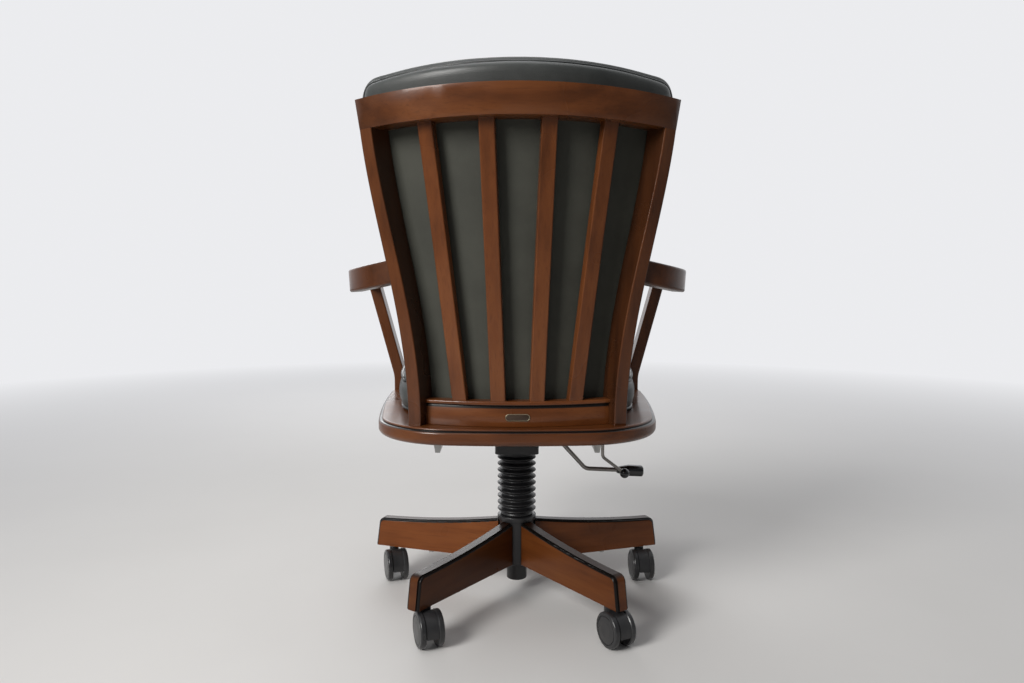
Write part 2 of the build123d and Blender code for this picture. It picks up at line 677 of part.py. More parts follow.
housing_mid_y = (HOUSING_FRONT - HOUSING_REAR) / 2
housing_length = HOUSING_FRONT + HOUSING_REAR
housing_top = HOUSING_UNDERSIDE + HOUSING_HEIGHT
with BuildPart() as tilt_housing:
    with BuildSketch(Plane.XY.offset(HOUSING_UNDERSIDE)):
        with Locations((0, housing_mid_y)):
            RectangleRounded(HOUSING_WIDTH, housing_length, HOUSING_ROUND)
    extrude(amount=HOUSING_HEIGHT)
    fillet(tilt_housing.edges().group_by(Axis.Z)[0], HOUSING_WALL / 2)
    with BuildSketch(Plane.XY.offset(HOUSING_UNDERSIDE + HOUSING_WALL)):
        with Locations((0, housing_mid_y)):
            RectangleRounded(
                HOUSING_WIDTH - 2 * HOUSING_WALL,
                housing_length - 2 * HOUSING_WALL,
                HOUSING_ROUND - HOUSING_WALL,
            )
    extrude(amount=HOUSING_HEIGHT, mode=Mode.SUBTRACT)
    # Side walls fall towards the rear, so that the seat can tilt back over them
    with BuildSketch(Plane.YZ):
        with BuildLine():
            Polyline(
                (-2 * HOUSING_REAR, housing_top + HOUSING_HEIGHT),
                (TILT_AXIS_Y, housing_top + HOUSING_HEIGHT),
                (TILT_AXIS_Y, housing_top),
                (-HOUSING_REAR, HOUSING_UNDERSIDE + HOUSING_REAR_HEIGHT),
                (-2 * HOUSING_REAR, HOUSING_UNDERSIDE + HOUSING_REAR_HEIGHT),
                close=True,
            )
        make_face()
    extrude(amount=HOUSING_WIDTH, both=True, mode=Mode.SUBTRACT)
    # Tube that holds the head of the gas cylinder
    with BuildSketch(Plane.XY.offset(SOCKET_TUBE_BOTTOM)):
        Circle(SOCKET_TUBE_DIA / 2)
    extrude(amount=CYLINDER_TOP - SOCKET_TUBE_BOTTOM)
    with BuildSketch(Plane.XY.offset(SOCKET_TUBE_BOTTOM)):
        Circle(CYLINDER_DIA / 2)
    extrude(amount=CYLINDER_TOP - SOCKET_TUBE_BOTTOM, mode=Mode.SUBTRACT)
    # Lugs for the height lever's pin, one on each side of its eye
    for side in (-1, 1):
        lug_y = side * (LEVER_EYE_WIDTH / 2 + SIDE_PLAY + LEVER_LUG_THICK / 2)
        with BuildSketch(Plane.XZ.offset(-lug_y)):
            with Locations((HOUSING_WIDTH / 2 - HOUSING_WALL / 2, LEVER_PIVOT_Z)):
                Rectangle(
                    LEVER_PIVOT_X - HOUSING_WIDTH / 2 + HOUSING_WALL / 2,
                    LEVER_LUG_REACH,
                    align=(Align.MIN, Align.CENTER),
                )
            with Locations((LEVER_PIVOT_X, LEVER_PIVOT_Z)):
                Circle(LEVER_LUG_REACH / 2)
                Circle(LEVER_PIN_DIA / 2, mode=Mode.SUBTRACT)
        extrude(amount=LEVER_LUG_THICK / 2, both=True)
    # Window for the height lever, bores for the tilt pin and the tension screw
    with BuildSketch(Plane.YZ.offset(HOUSING_WIDTH / 2 - 2 * HOUSING_WALL)):
        with Locations((0, LEVER_PIVOT_Z)):
            Circle(LEVER_WINDOW_DIA / 2)
    extrude(amount=2 * HOUSING_WALL, mode=Mode.SUBTRACT)
    with BuildSketch(Plane.YZ):
        with Locations((TILT_AXIS_Y, TILT_AXIS_Z)):
            Circle(TILT_PIN_DIA / 2)
    extrude(amount=HOUSING_WIDTH, both=True, mode=Mode.SUBTRACT)
    with BuildSketch(Plane.XY.offset(HOUSING_UNDERSIDE)):
        with Locations((0, TENSION_Y)):
            Circle(TENSION_SCREW_DIA / 2 + RUN_CLEAR)
    extrude(amount=HOUSING_WALL, mode=Mode.SUBTRACT)
save(tilt_housing, "tilt_housing")

ear_inner_x = HOUSING_WIDTH / 2 + TILT_EAR_GAP
with BuildPart() as pivot_pins:
    with BuildSketch(Plane.YZ):
        with Locations((TILT_AXIS_Y, TILT_AXIS_Z)):
            Circle(TILT_PIN_DIA / 2)
    extrude(amount=ear_inner_x + TILT_EAR_THICK + PIN_PROUD, both=True)
    with BuildSketch(Plane.XZ):
        with Locations((LEVER_PIVOT_X, LEVER_PIVOT_Z)):
            Circle(LEVER_PIN_DIA / 2)
    extrude(amount=LEVER_EYE_WIDTH / 2 + SIDE_PLAY + LEVER_LUG_THICK + PIN_PROUD / 2, both=True)
    chamfer(pivot_pins.edges().filter_by(GeomType.CIRCLE), PIN_PROUD / 4)
save(pivot_pins, "pivot_pins")

with BuildPart() as torsion_bushes:
    for side in (-1, 1):
        with BuildSketch(Plane.YZ.offset(side * (BUSHING_GAP + BUSHING_LENGTH / 2))):
            with Locations((TILT_AXIS_Y, TILT_AXIS_Z)):
                Circle(BUSHING_DIA / 2)
                Circle(TILT_PIN_DIA / 2 + SLOT_GAP, mode=Mode.SUBTRACT)
        extrude(amount=BUSHING_LENGTH / 2, both=True)
save(torsion_bushes, "torsion_bushes")

with BuildPart() as tilt_plate:
    with BuildSketch(Plane.XY.offset(PLATE_UNDERSIDE)):
        with Locations((0, (PLATE_FRONT - PLATE_REAR) / 2)):
            RectangleRounded(PLATE_WIDTH, PLATE_FRONT + PLATE_REAR, PLATE_ROUND)
    extrude(amount=PLATE_THICK)
    # Ears of the tilt pin and tabs of the lock lever hang from the plate
    ear = (TILT_EAR_THICK, TILT_EAR_RADIUS, (TILT_AXIS_Y, TILT_AXIS_Z), TILT_PIN_DIA)
    tab = (LOCK_TAB_THICK, LOCK_TAB_RADIUS, (LOCK_Y, LOCK_Z), LOCK_DIA)
    for hang_x, (thick, radius, hole_place, hole) in (
        (-ear_inner_x - TILT_EAR_THICK, ear),
        (ear_inner_x, ear),
        (LOCK_TAB_XS[0], tab),
        (LOCK_TAB_XS[1], tab),
    ):
        with BuildSketch(Plane.YZ.offset(hang_x)):
            with Locations(hole_place):
                Circle(radius)
                Rectangle(2 * radius, PLATE_UNDERSIDE - hole_place[1], align=(Align.CENTER, Align.MIN))
                Circle(hole / 2 + RUN_CLEAR, mode=Mode.SUBTRACT)
        extrude(amount=thick)
    screw_span = (PLATE_WIDTH - 2 * SCREW_INSET, PLATE_FRONT + PLATE_REAR - 2 * SCREW_INSET)
    with BuildSketch(Plane.XY.offset(PLATE_UNDERSIDE)):
        with Locations((0, (PLATE_FRONT - PLATE_REAR) / 2)):
            with GridLocations(*screw_span, 2, 2):
                Circle(SCREW_DIA / 2)
    extrude(amount=PLATE_THICK, mode=Mode.SUBTRACT)
save(tilt_plate, "tilt_plate")

# Tension knob, moulded on its screw

with BuildPart() as tension_knob:
    knob_top = HOUSING_UNDERSIDE - KNOB_DROP
    with BuildSketch(Plane.XY.offset(knob_top - KNOB_HEIGHT)):
        with Locations((0, TENSION_Y)):
            Circle(KNOB_DIA / 2)
            with PolarLocations(KNOB_DIA / 2 + KNOB_LOBE_DIA / 4, KNOB_LOBES):
                Circle(KNOB_LOBE_DIA / 2, mode=Mode.SUBTRACT)
    extrude(amount=KNOB_HEIGHT)
    fillet(tension_knob.edges().group_by(Axis.Z)[0], KNOB_EDGE_ROUND)
    with BuildSketch(Plane.XY.offset(knob_top)):
        with Locations((0, TENSION_Y)):
            Circle(TENSION_SCREW_DIA / 2)
    extrude(amount=KNOB_DROP + HOUSING_WALL + TENSION_SCREW_INSIDE)
    with BuildSketch(Plane.XY.offset(HOUSING_UNDERSIDE - SIDE_PLAY - TENSION_COLLAR)):
        with Locations((0, TENSION_Y)):
            Circle(TENSION_COLLAR_DIA / 2)
    extrude(amount=TENSION_COLLAR)
save(tension_knob, "tension_knob")


# Bent-rod levers


def bent_rod(points, diameter, bend):
    with BuildLine() as route:
        FilletPolyline(*points, radius=bend)
    start = Vector(*points[0])
    with BuildSketch(Plane(origin=start, z_dir=Vector(*points[1]) - start)) as section:
        Circle(diameter / 2)
    sweep(section.sketch, path=route.wires()[0])


lever_points = [
    (LEVER_INNER_X, 0, LEVER_PIVOT_Z),
    (LEVER_KNEE_X, 0, LEVER_PIVOT_Z),
    (LEVER_LOW_X, 0, LEVER_LOW_Z),
    (LEVER_END_X, 0, LEVER_END_Z),
]
with BuildPart() as height_lever:
    bent_rod(lever_points, LEVER_DIA, LEVER_BEND)
    with BuildSketch(Plane.XZ):
        with Locations((LEVER_PIVOT_X, LEVER_PIVOT_Z)):
            Circle(LEVER_EYE_DIA / 2)
    extrude(amount=LEVER_EYE_WIDTH / 2, both=True)
    with BuildSketch(Plane.XZ):
        with Locations((LEVER_PIVOT_X, LEVER_PIVOT_Z)):
            Circle(LEVER_PIN_DIA / 2 + RUN_CLEAR)
    extrude(amount=LEVER_EYE_WIDTH, both=True, mode=Mode.SUBTRACT)
save(height_lever, "height_lever")

lever_fall = (LEVER_LOW_Z - LEVER_END_Z) / (LEVER_END_X - LEVER_LOW_X)
paddle_axis = Vector(1, 0, -lever_fall).normalized()
paddle_start = Vector(PADDLE_START_X, 0, LEVER_LOW_Z - lever_fall * (PADDLE_START_X - LEVER_LOW_X))
with BuildPart() as height_paddle:
    for share, size in ((0, PADDLE_ROOT), (0.45, PADDLE_TIP), (1, PADDLE_TIP)):
        station = paddle_start + paddle_axis * (share * PADDLE_LENGTH)
        with BuildSketch(Plane(origin=station, x_dir=(0, 1, 0), z_dir=paddle_axis)):
            RectangleRounded(size[0], size[1], PADDLE_FULLNESS * size[1])
    loft(ruled=True)
    fillet(height_paddle.edges().group_by(Axis.X)[-1], PADDLE_ROUND)
    add(height_lever.part, mode=Mode.SUBTRACT)
save(height_paddle, "height_paddle")

lock_points = [
    (LOCK_INNER_X, LOCK_Y, LOCK_Z),
    (LOCK_DROP_X, LOCK_Y, LOCK_Z),
    (LOCK_DROP_X, LOCK_Y, LOCK_KNEE_Z),
    (LOCK_BALL_X, LOCK_Y, LOCK_BALL_Z),
]
with BuildPart() as lock_lever:
    bent_rod(lock_points, LOCK_DIA, LOCK_BEND)
save(lock_lever, "lock_lever")

with BuildPart() as lock_ball:
    ball_plane = Plane(origin=(LOCK_BALL_X, LOCK_Y, LOCK_BALL_Z), x_dir=(1, 0, 0), z_dir=(0, -1, 0))
    with BuildSketch(ball_plane):
        with BuildLine():
            ThreePointArc((0, -BALL_DIA / 2), (BALL_DIA / 2, 0), (0, BALL_DIA / 2))
            Line((0, BALL_DIA / 2), (0, -BALL_DIA / 2))
        make_face()
    revolve(axis=Axis((LOCK_BALL_X, LOCK_Y, LOCK_BALL_Z), (0, 0, 1)))
    add(lock_lever.part, mode=Mode.SUBTRACT)
save(lock_ball, "lock_ball")


# Seat board with a stepped edge, its rails and screws


def seat_outline(rear_y, rear_corner, side_mid, front_corner, front_y, size=1.0):
    """Half outline: bowed rear edge, flaring side and bowed front edge, mirrored."""
    rear_x, rear_corner_y = rear_corner
    side_x, side_y = side_mid
    front_x, front_corner_y = front_corner
    with BuildLine() as edge:
        ThreePointArc(
            (-rear_x * size, rear_corner_y * size), (0, rear_y * size), (rear_x * size, rear_corner_y * size)
        )
        ThreePointArc(
            (-front_x * size, front_corner_y * size),
            (0, front_y * size),
            (front_x * size, front_corner_y * size),
        )
        for side in (-1, 1):
            ThreePointArc(
                (side * rear_x * size, rear_corner_y * size),
                (side * side_x * size, side_y * size),
                (side * front_x * size, front_corner_y * size),
            )
    make_face(edge.edges())


def board_outline(inset):
    """Outline of the seat board with rounded corners, drawn in by an inset."""
    rear_x, rear_y = BOARD_REAR_CORNER
    front_x, front_y = BOARD_FRONT_CORNER
    with BuildSketch() as board:
        seat_outline(
            BOARD_REAR_Y + inset,
            (rear_x - inset, rear_y + inset),
            (BOARD_SIDE_MID[0] - inset, BOARD_SIDE_MID[1]),
            (front_x - inset, front_y - inset),
            BOARD_FRONT_Y - inset,
        )
        fillet(board.vertices().sort_by(Axis.Y)[:2], BOARD_REAR_ROUND - inset)
        fillet(board.vertices().sort_by(lambda v: abs(v.Y - front_y + inset))[:2], BOARD_FRONT_ROUND - inset)
    return board.sketch


def post_angle(z):
    """Angle of a post's middle about the back's centre of curvature, in degrees."""
    share = min(max((z - SEAT_TOP) / (BACK_TOP - SEAT_TOP), 0), 1) ** FLARE_BIAS
    flare = share * share * (3 - 2 * share)
    outer_x = POST_FOOT_X + (POST_TOP_X - POST_FOOT_X) * flare
    return degrees(asin(outer_x / BACK_RADIUS) - POST_WIDTH / 2 / BACK_RADIUS)


def back_y(z):
    """Rear face of the back at its middle: leaning, and bowed towards the sitter."""
    share = (z - SEAT_TOP) / (BACK_TOP - SEAT_TOP)
    return BACK_FOOT_Y - BACK_LEAN * share + 4 * BACK_BOW * share * (1 - share)


def back_point(angle, radius, z):
    turn = radians(angle)
    return Vector(radius * sin(turn), back_y(z) + BACK_RADIUS - radius * cos(turn), z)


def back_plane(angle, radius, z):
    """Level plane on the bowed back: X along the bow, Y towards the sitter."""
    turn = radians(angle)
    return Plane(origin=back_point(angle, radius, z), x_dir=(cos(turn), sin(turn), 0), z_dir=UP)


arm_start_angle = post_angle(ARM_POST_Z)
arm_normal = Vector(cos(radians(arm_start_angle)), sin(radians(arm_start_angle)), 0)
arm_root = back_point(arm_start_angle, BACK_RADIUS - ARM_POST_DEPTH, ARM_POST_Z)
arm_face = arm_root + arm_normal * (POST_WIDTH / 2)
arm_start = arm_face - arm_normal * ARM_TENON
arm_bend = arm_face + arm_normal * (ARM_REACH - ARM_TENON)
arm_corner = Vector(arm_bend.X, arm_bend.Y, ARM_CORNER_Z)
arm_end = Vector(ARM_FRONT_X, ARM_FRONT_Y, ARM_FRONT_Z)
strut_share = (STRUT_Y - arm_corner.Y) / (arm_end.Y - arm_corner.Y)
strut_head = arm_corner + (arm_end - arm_corner) * strut_share
strut_knee_z = SEAT_TOP + STRUT_KNEE
strut_x = strut_head.X - (strut_head.Z - strut_knee_z) * tan(radians(ARM_TILT))

post_foot = back_point(post_angle(SEAT_TOP), BACK_RADIUS - POST_DEPTH / 2, SEAT_TOP)
bolt_places = [(side * post_foot.X, post_foot.Y) for side in (-1, 1)]
bolt_places += [(side * strut_x, STRUT_Y) for side in (-1, 1)]
with BuildPart() as frame_bolts:
    for radius, bottom, height in (
        (BOLT_HEAD_DIA / 2, BOARD_UNDERSIDE, BOLT_HEAD),
        (BOLT_DIA / 2, BOARD_UNDERSIDE + BOLT_HEAD, BOARD_THICK - BOLT_HEAD + BOLT_BITE),
    ):
        with BuildSketch(Plane.XY.offset(bottom)):
            with Locations(*bolt_places):
                Circle(radius)
        extrude(amount=height)
save(frame_bolts, "frame_bolts")

rail_screw_ys = (RAIL_REAR + 2 * SCREW_INSET, RAIL_FRONT - 2 * SCREW_INSET)
flange_x = RAIL_X + RAIL_TOP_WIDTH / 2 + RAIL_FLANGE / 2
screw_places = [(side * flange_x, y) for side in (-1, 1) for y in rail_screw_ys]
plate_mid_y = (PLATE_FRONT - PLATE_REAR) / 2
screw_places += [
    (x_side * screw_span[0] / 2, plate_mid_y + y_side * screw_span[1] / 2)
    for x_side in (-1, 1)
    for y_side in (-1, 1)
]
with BuildPart() as seat_screws:
    for radius, bottom, height in (
        (SCREW_HEAD_DIA / 2, PLATE_UNDERSIDE - SCREW_HEAD, SCREW_HEAD),
        (SCREW_DIA / 2, PLATE_UNDERSIDE, PLATE_THICK + SCREW_BITE),
    ):
        with BuildSketch(Plane.XY.offset(bottom)):
            with Locations(*screw_places):
                Circle(radius)
        extrude(amount=height)
    fillet(seat_screws.edges().group_by(Axis.Z)[0], SCREW_HEAD / 2)
save(seat_screws, "seat_screws")

with BuildPart() as seat_board:
    with BuildSketch(Plane.XY.offset(BOARD_UNDERSIDE)):
        add(board_outline(0))
    extrude(amount=BOARD_THICK - BOARD_STEP)
    fillet(seat_board.edges().group_by(Axis.Z)[-1], BOARD_EDGE_ROUND)
    with BuildSketch(Plane.XY.offset(SEAT_TOP - BOARD_STEP)):
        add(board_outline(BOARD_STEP_INSET))
    extrude(amount=BOARD_STEP)
    fillet(seat_board.edges().group_by(Axis.Z)[-1], BOARD_STEP_ROUND)
    fillet(seat_board.edges().group_by(Axis.Z)[0], BOARD_UNDER_ROUND)
    for places, radius, depth in (
        (bolt_places, BOLT_HEAD_DIA / 2, BOLT_HEAD),
        (bolt_places, BOLT_DIA / 2, BOARD_THICK),
        (screw_places, SCREW_DIA / 2, SCREW_BITE),
    ):
        with BuildSketch(Plane.XY.offset(BOARD_UNDERSIDE)):
            with Locations(*places):
                Circle(radius)
        extrude(amount=depth, mode=Mode.SUBTRACT)
save(seat_board, "seat_board")

with BuildPart() as seat_rails:
    for side in (-1, 1):
        for wall, rear, front, mode in (
            (0, RAIL_REAR, RAIL_FRONT, Mode.ADD),
            (RAIL_WALL, RAIL_REAR + RAIL_WALL, RAIL_FRONT - RAIL_WALL, Mode.SUBTRACT),
        ):
            with BuildSketch(Plane.XZ.offset(-rear)):
                with Locations((side * RAIL_X, BOARD_UNDERSIDE)):
                    Trapezoid(
                        RAIL_TOP_WIDTH - 2 * wall,
                        RAIL_DEPTH - wall,
                        degrees(atan2(RAIL_DEPTH, (RAIL_TOP_WIDTH - RAIL_FOOT_WIDTH) / 2)),
                        rotation=180,
                        align=(Align.CENTER, Align.MIN),
                    )
            extrude(amount=rear - front, mode=mode)
        with BuildSketch(Plane.XY.offset(PLATE_UNDERSIDE)):
            with Locations((side * (flange_x - RAIL_WALL / 3), (RAIL_REAR + RAIL_FRONT) / 2)):
                Rectangle(RAIL_FLANGE + RAIL_WALL * 2 / 3, RAIL_FRONT - RAIL_REAR)
        extrude(amount=PLATE_THICK)
    add(seat_screws.part, mode=Mode.SUBTRACT)
save(seat_rails, "seat_rails")

with BuildPart() as seat_cushion:
    for share, size in CUSHION_SECTIONS:
        level = SEAT_TOP + SOFT_GAP + share * CUSHION_HEIGHT
        with BuildSketch(Plane.XY.offset(level)) as slice_outline:
            seat_outline(
                CUSHION_REAR_Y,
                CUSHION_REAR_CORNER,
                CUSHION_SIDE_MID,
                CUSHION_FRONT_CORNER,
                CUSHION_FRONT_Y,
                size,
            )
            fillet(slice_outline.vertices(), CUSHION_ROUND * size)
    loft(ruled=True)
save(seat_cushion, "seat_cushion")


# Arms bent outwards from the posts, on leaning struts


def arm_section(point, heading, side):
    """Plane across an arm: X to its outer side, Y up, tilted outwards."""
    return Plane(origin=point, x_dir=heading.cross(UP) * side, z_dir=heading).rotated((0, 0, side * ARM_TILT))


def make_arm(label, side):
    start = Vector(side * arm_start.X, arm_start.Y, arm_start.Z)
    corner = Vector(side * arm_corner.X, arm_corner.Y, arm_corner.Z)
    end = Vector(side * arm_end.X, arm_end.Y, arm_end.Z)
    with BuildPart() as arm:
        with BuildLine() as route:
            FilletPolyline(start, corner, end, radius=ARM_BEND)
        with BuildSketch(arm_section(start, corner - start, side)):
            RectangleRounded(ARM_THICK, ARM_HEIGHT, ARM_EDGE_ROUND)
        sweep(path=route.wires()[0])
        # The front end is turned to a half round
        nose = arm_section(end, end - corner, side)
        with BuildSketch(nose):
            RectangleRounded(ARM_THICK, ARM_HEIGHT, ARM_EDGE_ROUND)
            Rectangle(ARM_THICK, ARM_HEIGHT, align=(Align.MAX, Align.CENTER), mode=Mode.SUBTRACT)
        revolve(axis=Axis(end, nose.y_dir))
    save(arm, label)
    return arm


def make_strut(label, side, arm):
    foot = Vector(side * strut_x, STRUT_Y, SEAT_TOP)
    knee = Vector(side * strut_x, STRUT_Y, strut_knee_z)
    head = Vector(side * strut_head.X, STRUT_Y, strut_head.Z)
    with BuildPart() as strut:
        with BuildLine() as route:
            FilletPolyline(foot, knee, head, radius=STRUT_BEND)
        with BuildSketch(Plane(origin=foot, x_dir=(1, 0, 0), z_dir=UP)):
            RectangleRounded(STRUT_THICK, STRUT_WIDTH, STRUT_EDGE_ROUND)
        sweep(path=route.wires()[0])
        add(arm.part, mode=Mode.SUBTRACT)
        add(frame_bolts.part, mode=Mode.SUBTRACT)
    save(strut, label)


arms = {}
for name, side in (("left", -1), ("right", 1)):
    arms[name] = make_arm(f"arm_{name}", side)
    make_strut(f"arm_strut_{name}", side, arms[name])


# Bowed back frame: slats, rails and posts


def make_slat(label, place):
    foot_z = BOTTOM_RAIL_TOP + CAP_HEIGHT - SLAT_TENON
    head_z = TOP_RAIL_UNDERSIDE + SLAT_TENON
    rear_r = BACK_RADIUS - SLAT_RECESS
    with BuildPart() as slat:
        for level in range(SLAT_LEVELS):
            share = level / (SLAT_LEVELS - 1)
            x = place * (SLAT_FOOT_PITCH + (SLAT_TOP_PITCH - SLAT_FOOT_PITCH) * share)
            z = foot_z + (head_z - foot_z) * share
            with BuildSketch(back_plane(degrees(asin(x / rear_r)), rear_r, z)):
                with Locations((0, SLAT_THICK / 2)):
                    RectangleRounded(SLAT_WIDTH, SLAT_THICK, POST_EDGE_ROUND)
        loft()
    save(slat, label)
    return slat


slats = []
for index in range(SLAT_COUNT):
    slats.append(make_slat(f"back_slat_{index + 1}", index - (SLAT_COUNT - 1) / 2))


def bow_sector(rear_r, front_r, half_angle):
    """Plan of a bowed rail about a centre of curvature at (0, BACK_RADIUS)."""
    with BuildLine() as plan:
        rear = CenterArc((0, BACK_RADIUS), rear_r, 270 - half_angle, 2 * half_angle)
        front = CenterArc((0, BACK_RADIUS), front_r, 270 - half_angle, 2 * half_angle)
        Line(rear @ 0, front @ 0)
        Line(rear @ 1, front @ 1)
    make_face(plan.edges())


def arch_line(top, half_width):
    """Shallow arch of the top rail, seen from behind."""
    drop = ARCH_RADIUS - sqrt(ARCH_RADIUS**2 - half_width**2)
    return ThreePointArc((-half_width, top - drop), (0, top), (half_width, top - drop))


arch_half = POST_TOP_X + POST_WIDTH
front_r = BACK_RADIUS - POST_DEPTH
with BuildPart() as top_rail:
    for z, end_x in (
        (TOP_RAIL_UNDERSIDE - 2 * TOP_RAIL_ARCH, TOP_RAIL_FOOT_X),
        (BACK_TOP + TOP_RAIL_ARCH, TOP_RAIL_HEAD_X),
    ):
        with BuildSketch(Plane(origin=(0, back_y(z), z), x_dir=(1, 0, 0), z_dir=UP)):
            bow_sector(BACK_RADIUS, front_r, degrees(asin(end_x / BACK_RADIUS)))
    loft(ruled=True)
    with BuildSketch(Plane.XZ):
        with BuildLine():
            upper = arch_line(BACK_TOP, arch_half)
            lower = arch_line(TOP_RAIL_UNDERSIDE, arch_half)
            Line(upper @ 0, lower @ 0)
            Line(upper @ 1, lower @ 1)
        make_face()
    extrude(amount=BACK_SPAN, both=True, mode=Mode.INTERSECT)
    for slat in slats:
        add(slat.part, mode=Mode.SUBTRACT)
save(top_rail, "top_rail")

rail_rear_r = BACK_RADIUS - BOTTOM_RAIL_RECESS
rail_front_r = front_r + BOTTOM_RAIL_SETBACK
tenon_angle = post_angle(SEAT_TOP) - degrees((POST_WIDTH / 2 - BOTTOM_RAIL_TENON) / BACK_RADIUS)
with BuildPart() as bottom_rail:
    with BuildSketch(Plane(origin=(0, back_y(SEAT_TOP), SEAT_TOP), x_dir=(1, 0, 0), z_dir=UP)):
        bow_sector(rail_rear_r, rail_front_r, tenon_angle)
    extrude(amount=BOTTOM_RAIL_HEIGHT)
save(bottom_rail, "bottom_rail")


def make_post(label, side):
    head_z = BACK_TOP - TOP_RAIL_ARCH
    with BuildPart() as post:
        for level in range(POST_LEVELS):
            z = SEAT_TOP + (head_z - SEAT_TOP) * level / (POST_LEVELS - 1)
            with BuildSketch(back_plane(side * post_angle(z), BACK_RADIUS, z)):
                with Locations((0, POST_DEPTH / 2)):
                    RectangleRounded(POST_WIDTH, POST_DEPTH, POST_EDGE_ROUND)
        loft()
        # The head is cut to the arch of the top rail's underside
        with BuildSketch(Plane.XZ):
            with BuildLine():
                lower = arch_line(TOP_RAIL_UNDERSIDE, arch_half)
                Polyline(lower @ 0, (-arch_half, 2 * BACK_TOP), (arch_half, 2 * BACK_TOP), lower @ 1)
            make_face()
        extrude(amount=BACK_SPAN, both=True, mode=Mode.SUBTRACT)
        add(bottom_rail.part, mode=Mode.SUBTRACT)
        add(frame_bolts.part, mode=Mode.SUBTRACT)
        for arm in arms.values():
            add(arm.part, mode=Mode.SUBTRACT)
    save(post, label)
    return post


posts = [make_post("back_post_left", -1), make_post("back_post_right", 1)]

with BuildPart() as bottom_rail_cap:
    with BuildSketch(Plane(origin=(0, back_y(SEAT_TOP), BOTTOM_RAIL_TOP), x_dir=(1, 0, 0), z_dir=UP)):
        bow_sector(rail_rear_r + CAP_LIP, rail_front_r - CAP_FRONT_LIP, tenon_angle)
    extrude(amount=CAP_HEIGHT)
    rear_rims = bottom_rail_cap.edges().filter_by(GeomType.CIRCLE).sort_by(SortBy.LENGTH)[-2:]
    fillet(rear_rims, CAP_ROUND)
    for piece in slats + posts:
        add(piece.part, mode=Mode.SUBTRACT)
save(bottom_rail_cap, "bottom_rail_cap")


# Upholstered pad and the thin panel behind it, which ends behind the top rail


def pad_half_angle(z, rear_r, inset):
    share = min(max((z - SEAT_TOP) / (BACK_TOP - SEAT_TOP), 0), 1) ** FLARE_BIAS
    flare = share * share * (3 - 2 * share)
    half_width = PAD_FOOT_X + (PAD_TOP_X - PAD_FOOT_X) * flare - inset
    return degrees(asin(half_width / rear_r))


def pad_slice(z, rear_r, middle_thick, edge_thick, inset):
    half_angle = pad_half_angle(z, rear_r, inset)
    centre = (0, BACK_RADIUS)
    with BuildSketch(Plane(origin=(0, back_y(z), z), x_dir=(1, 0, 0), z_dir=UP)) as plan:
        with BuildLine():
            rear = CenterArc(centre, rear_r, 270 - half_angle, 2 * half_angle)
            edge_r = rear_r - edge_thick
            edge_x = edge_r * sin(radians(half_angle))
            edge_y = BACK_RADIUS - edge_r * cos(radians(half_angle))
            middle_y = BACK_RADIUS - rear_r + middle_thick
            front = ThreePointArc((-edge_x, edge_y), (0, middle_y), (edge_x, edge_y))
            Line(rear @ 0, front @ 0)
            Line(rear @ 1, front @ 1)
        make_face()
    return plan.sketch


def pad_levels():
    top = PAD_TOP + PAD_TOP_ARCH
    return [PAD_BOTTOM + (top - PAD_BOTTOM) * level / (PAD_LEVELS - 1) for level in range(PAD_LEVELS)]


def pad_outline(inset, top):
    """Cuts to an arched outline, seen from behind."""
    half = PAD_TOP_X - inset
    with BuildSketch(Plane.XZ) as outline:
        with BuildLine():
            ThreePointArc((-half, top - PAD_TOP_ARCH), (0, top), (half, top - PAD_TOP_ARCH))
            Polyline(
                (half, top - PAD_TOP_ARCH),
                (half, PAD_BOTTOM + inset),
                (-half, PAD_BOTTOM + inset),
                (-half, top - PAD_TOP_ARCH),
            )
        make_face()
        fillet(outline.vertices().group_by(Axis.Y)[-1], PAD_CORNER - inset)
    extrude(outline.sketch, amount=BACK_SPAN, both=True, mode=Mode.INTERSECT)


panel_rear_r = front_r - SOFT_GAP
with BuildPart() as back_panel:
    loft([pad_slice(z, panel_rear_r, PANEL_THICK, PANEL_THICK, PANEL_INSET) for z in pad_levels()])
    pad_outline(PANEL_INSET, PANEL_TOP)
save(back_panel, "back_panel")

with BuildPart() as back_pad:
    pad_rear_r = panel_rear_r - PANEL_THICK - SOFT_GAP
    loft([pad_slice(z, pad_rear_r, PAD_THICK, PAD_EDGE_THICK, 0) for z in pad_levels()])
    pad_outline(0, PAD_TOP)
    fillet(back_pad.edges(), PAD_EDGE_ROUND)
save(back_pad, "back_pad")
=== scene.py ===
import math

import bpy
import numpy as np
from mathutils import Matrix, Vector
from mathutils.bvhtree import BVHTree
from mathutils.kdtree import KDTree


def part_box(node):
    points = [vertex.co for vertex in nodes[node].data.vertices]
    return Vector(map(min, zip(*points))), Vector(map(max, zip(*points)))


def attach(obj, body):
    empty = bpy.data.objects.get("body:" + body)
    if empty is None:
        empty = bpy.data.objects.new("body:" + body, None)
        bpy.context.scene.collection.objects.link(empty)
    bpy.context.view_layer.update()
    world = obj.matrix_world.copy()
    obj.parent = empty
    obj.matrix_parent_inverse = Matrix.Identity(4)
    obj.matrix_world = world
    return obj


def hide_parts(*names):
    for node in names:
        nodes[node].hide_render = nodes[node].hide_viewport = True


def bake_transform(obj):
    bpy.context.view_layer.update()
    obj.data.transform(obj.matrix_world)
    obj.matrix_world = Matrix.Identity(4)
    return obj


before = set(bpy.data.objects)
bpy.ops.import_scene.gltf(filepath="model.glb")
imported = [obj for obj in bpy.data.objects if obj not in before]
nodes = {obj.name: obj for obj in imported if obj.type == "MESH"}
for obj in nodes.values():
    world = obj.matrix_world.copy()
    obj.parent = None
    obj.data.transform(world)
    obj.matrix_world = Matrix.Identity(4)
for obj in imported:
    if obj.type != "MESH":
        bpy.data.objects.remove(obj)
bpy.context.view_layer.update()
scene = bpy.context.scene

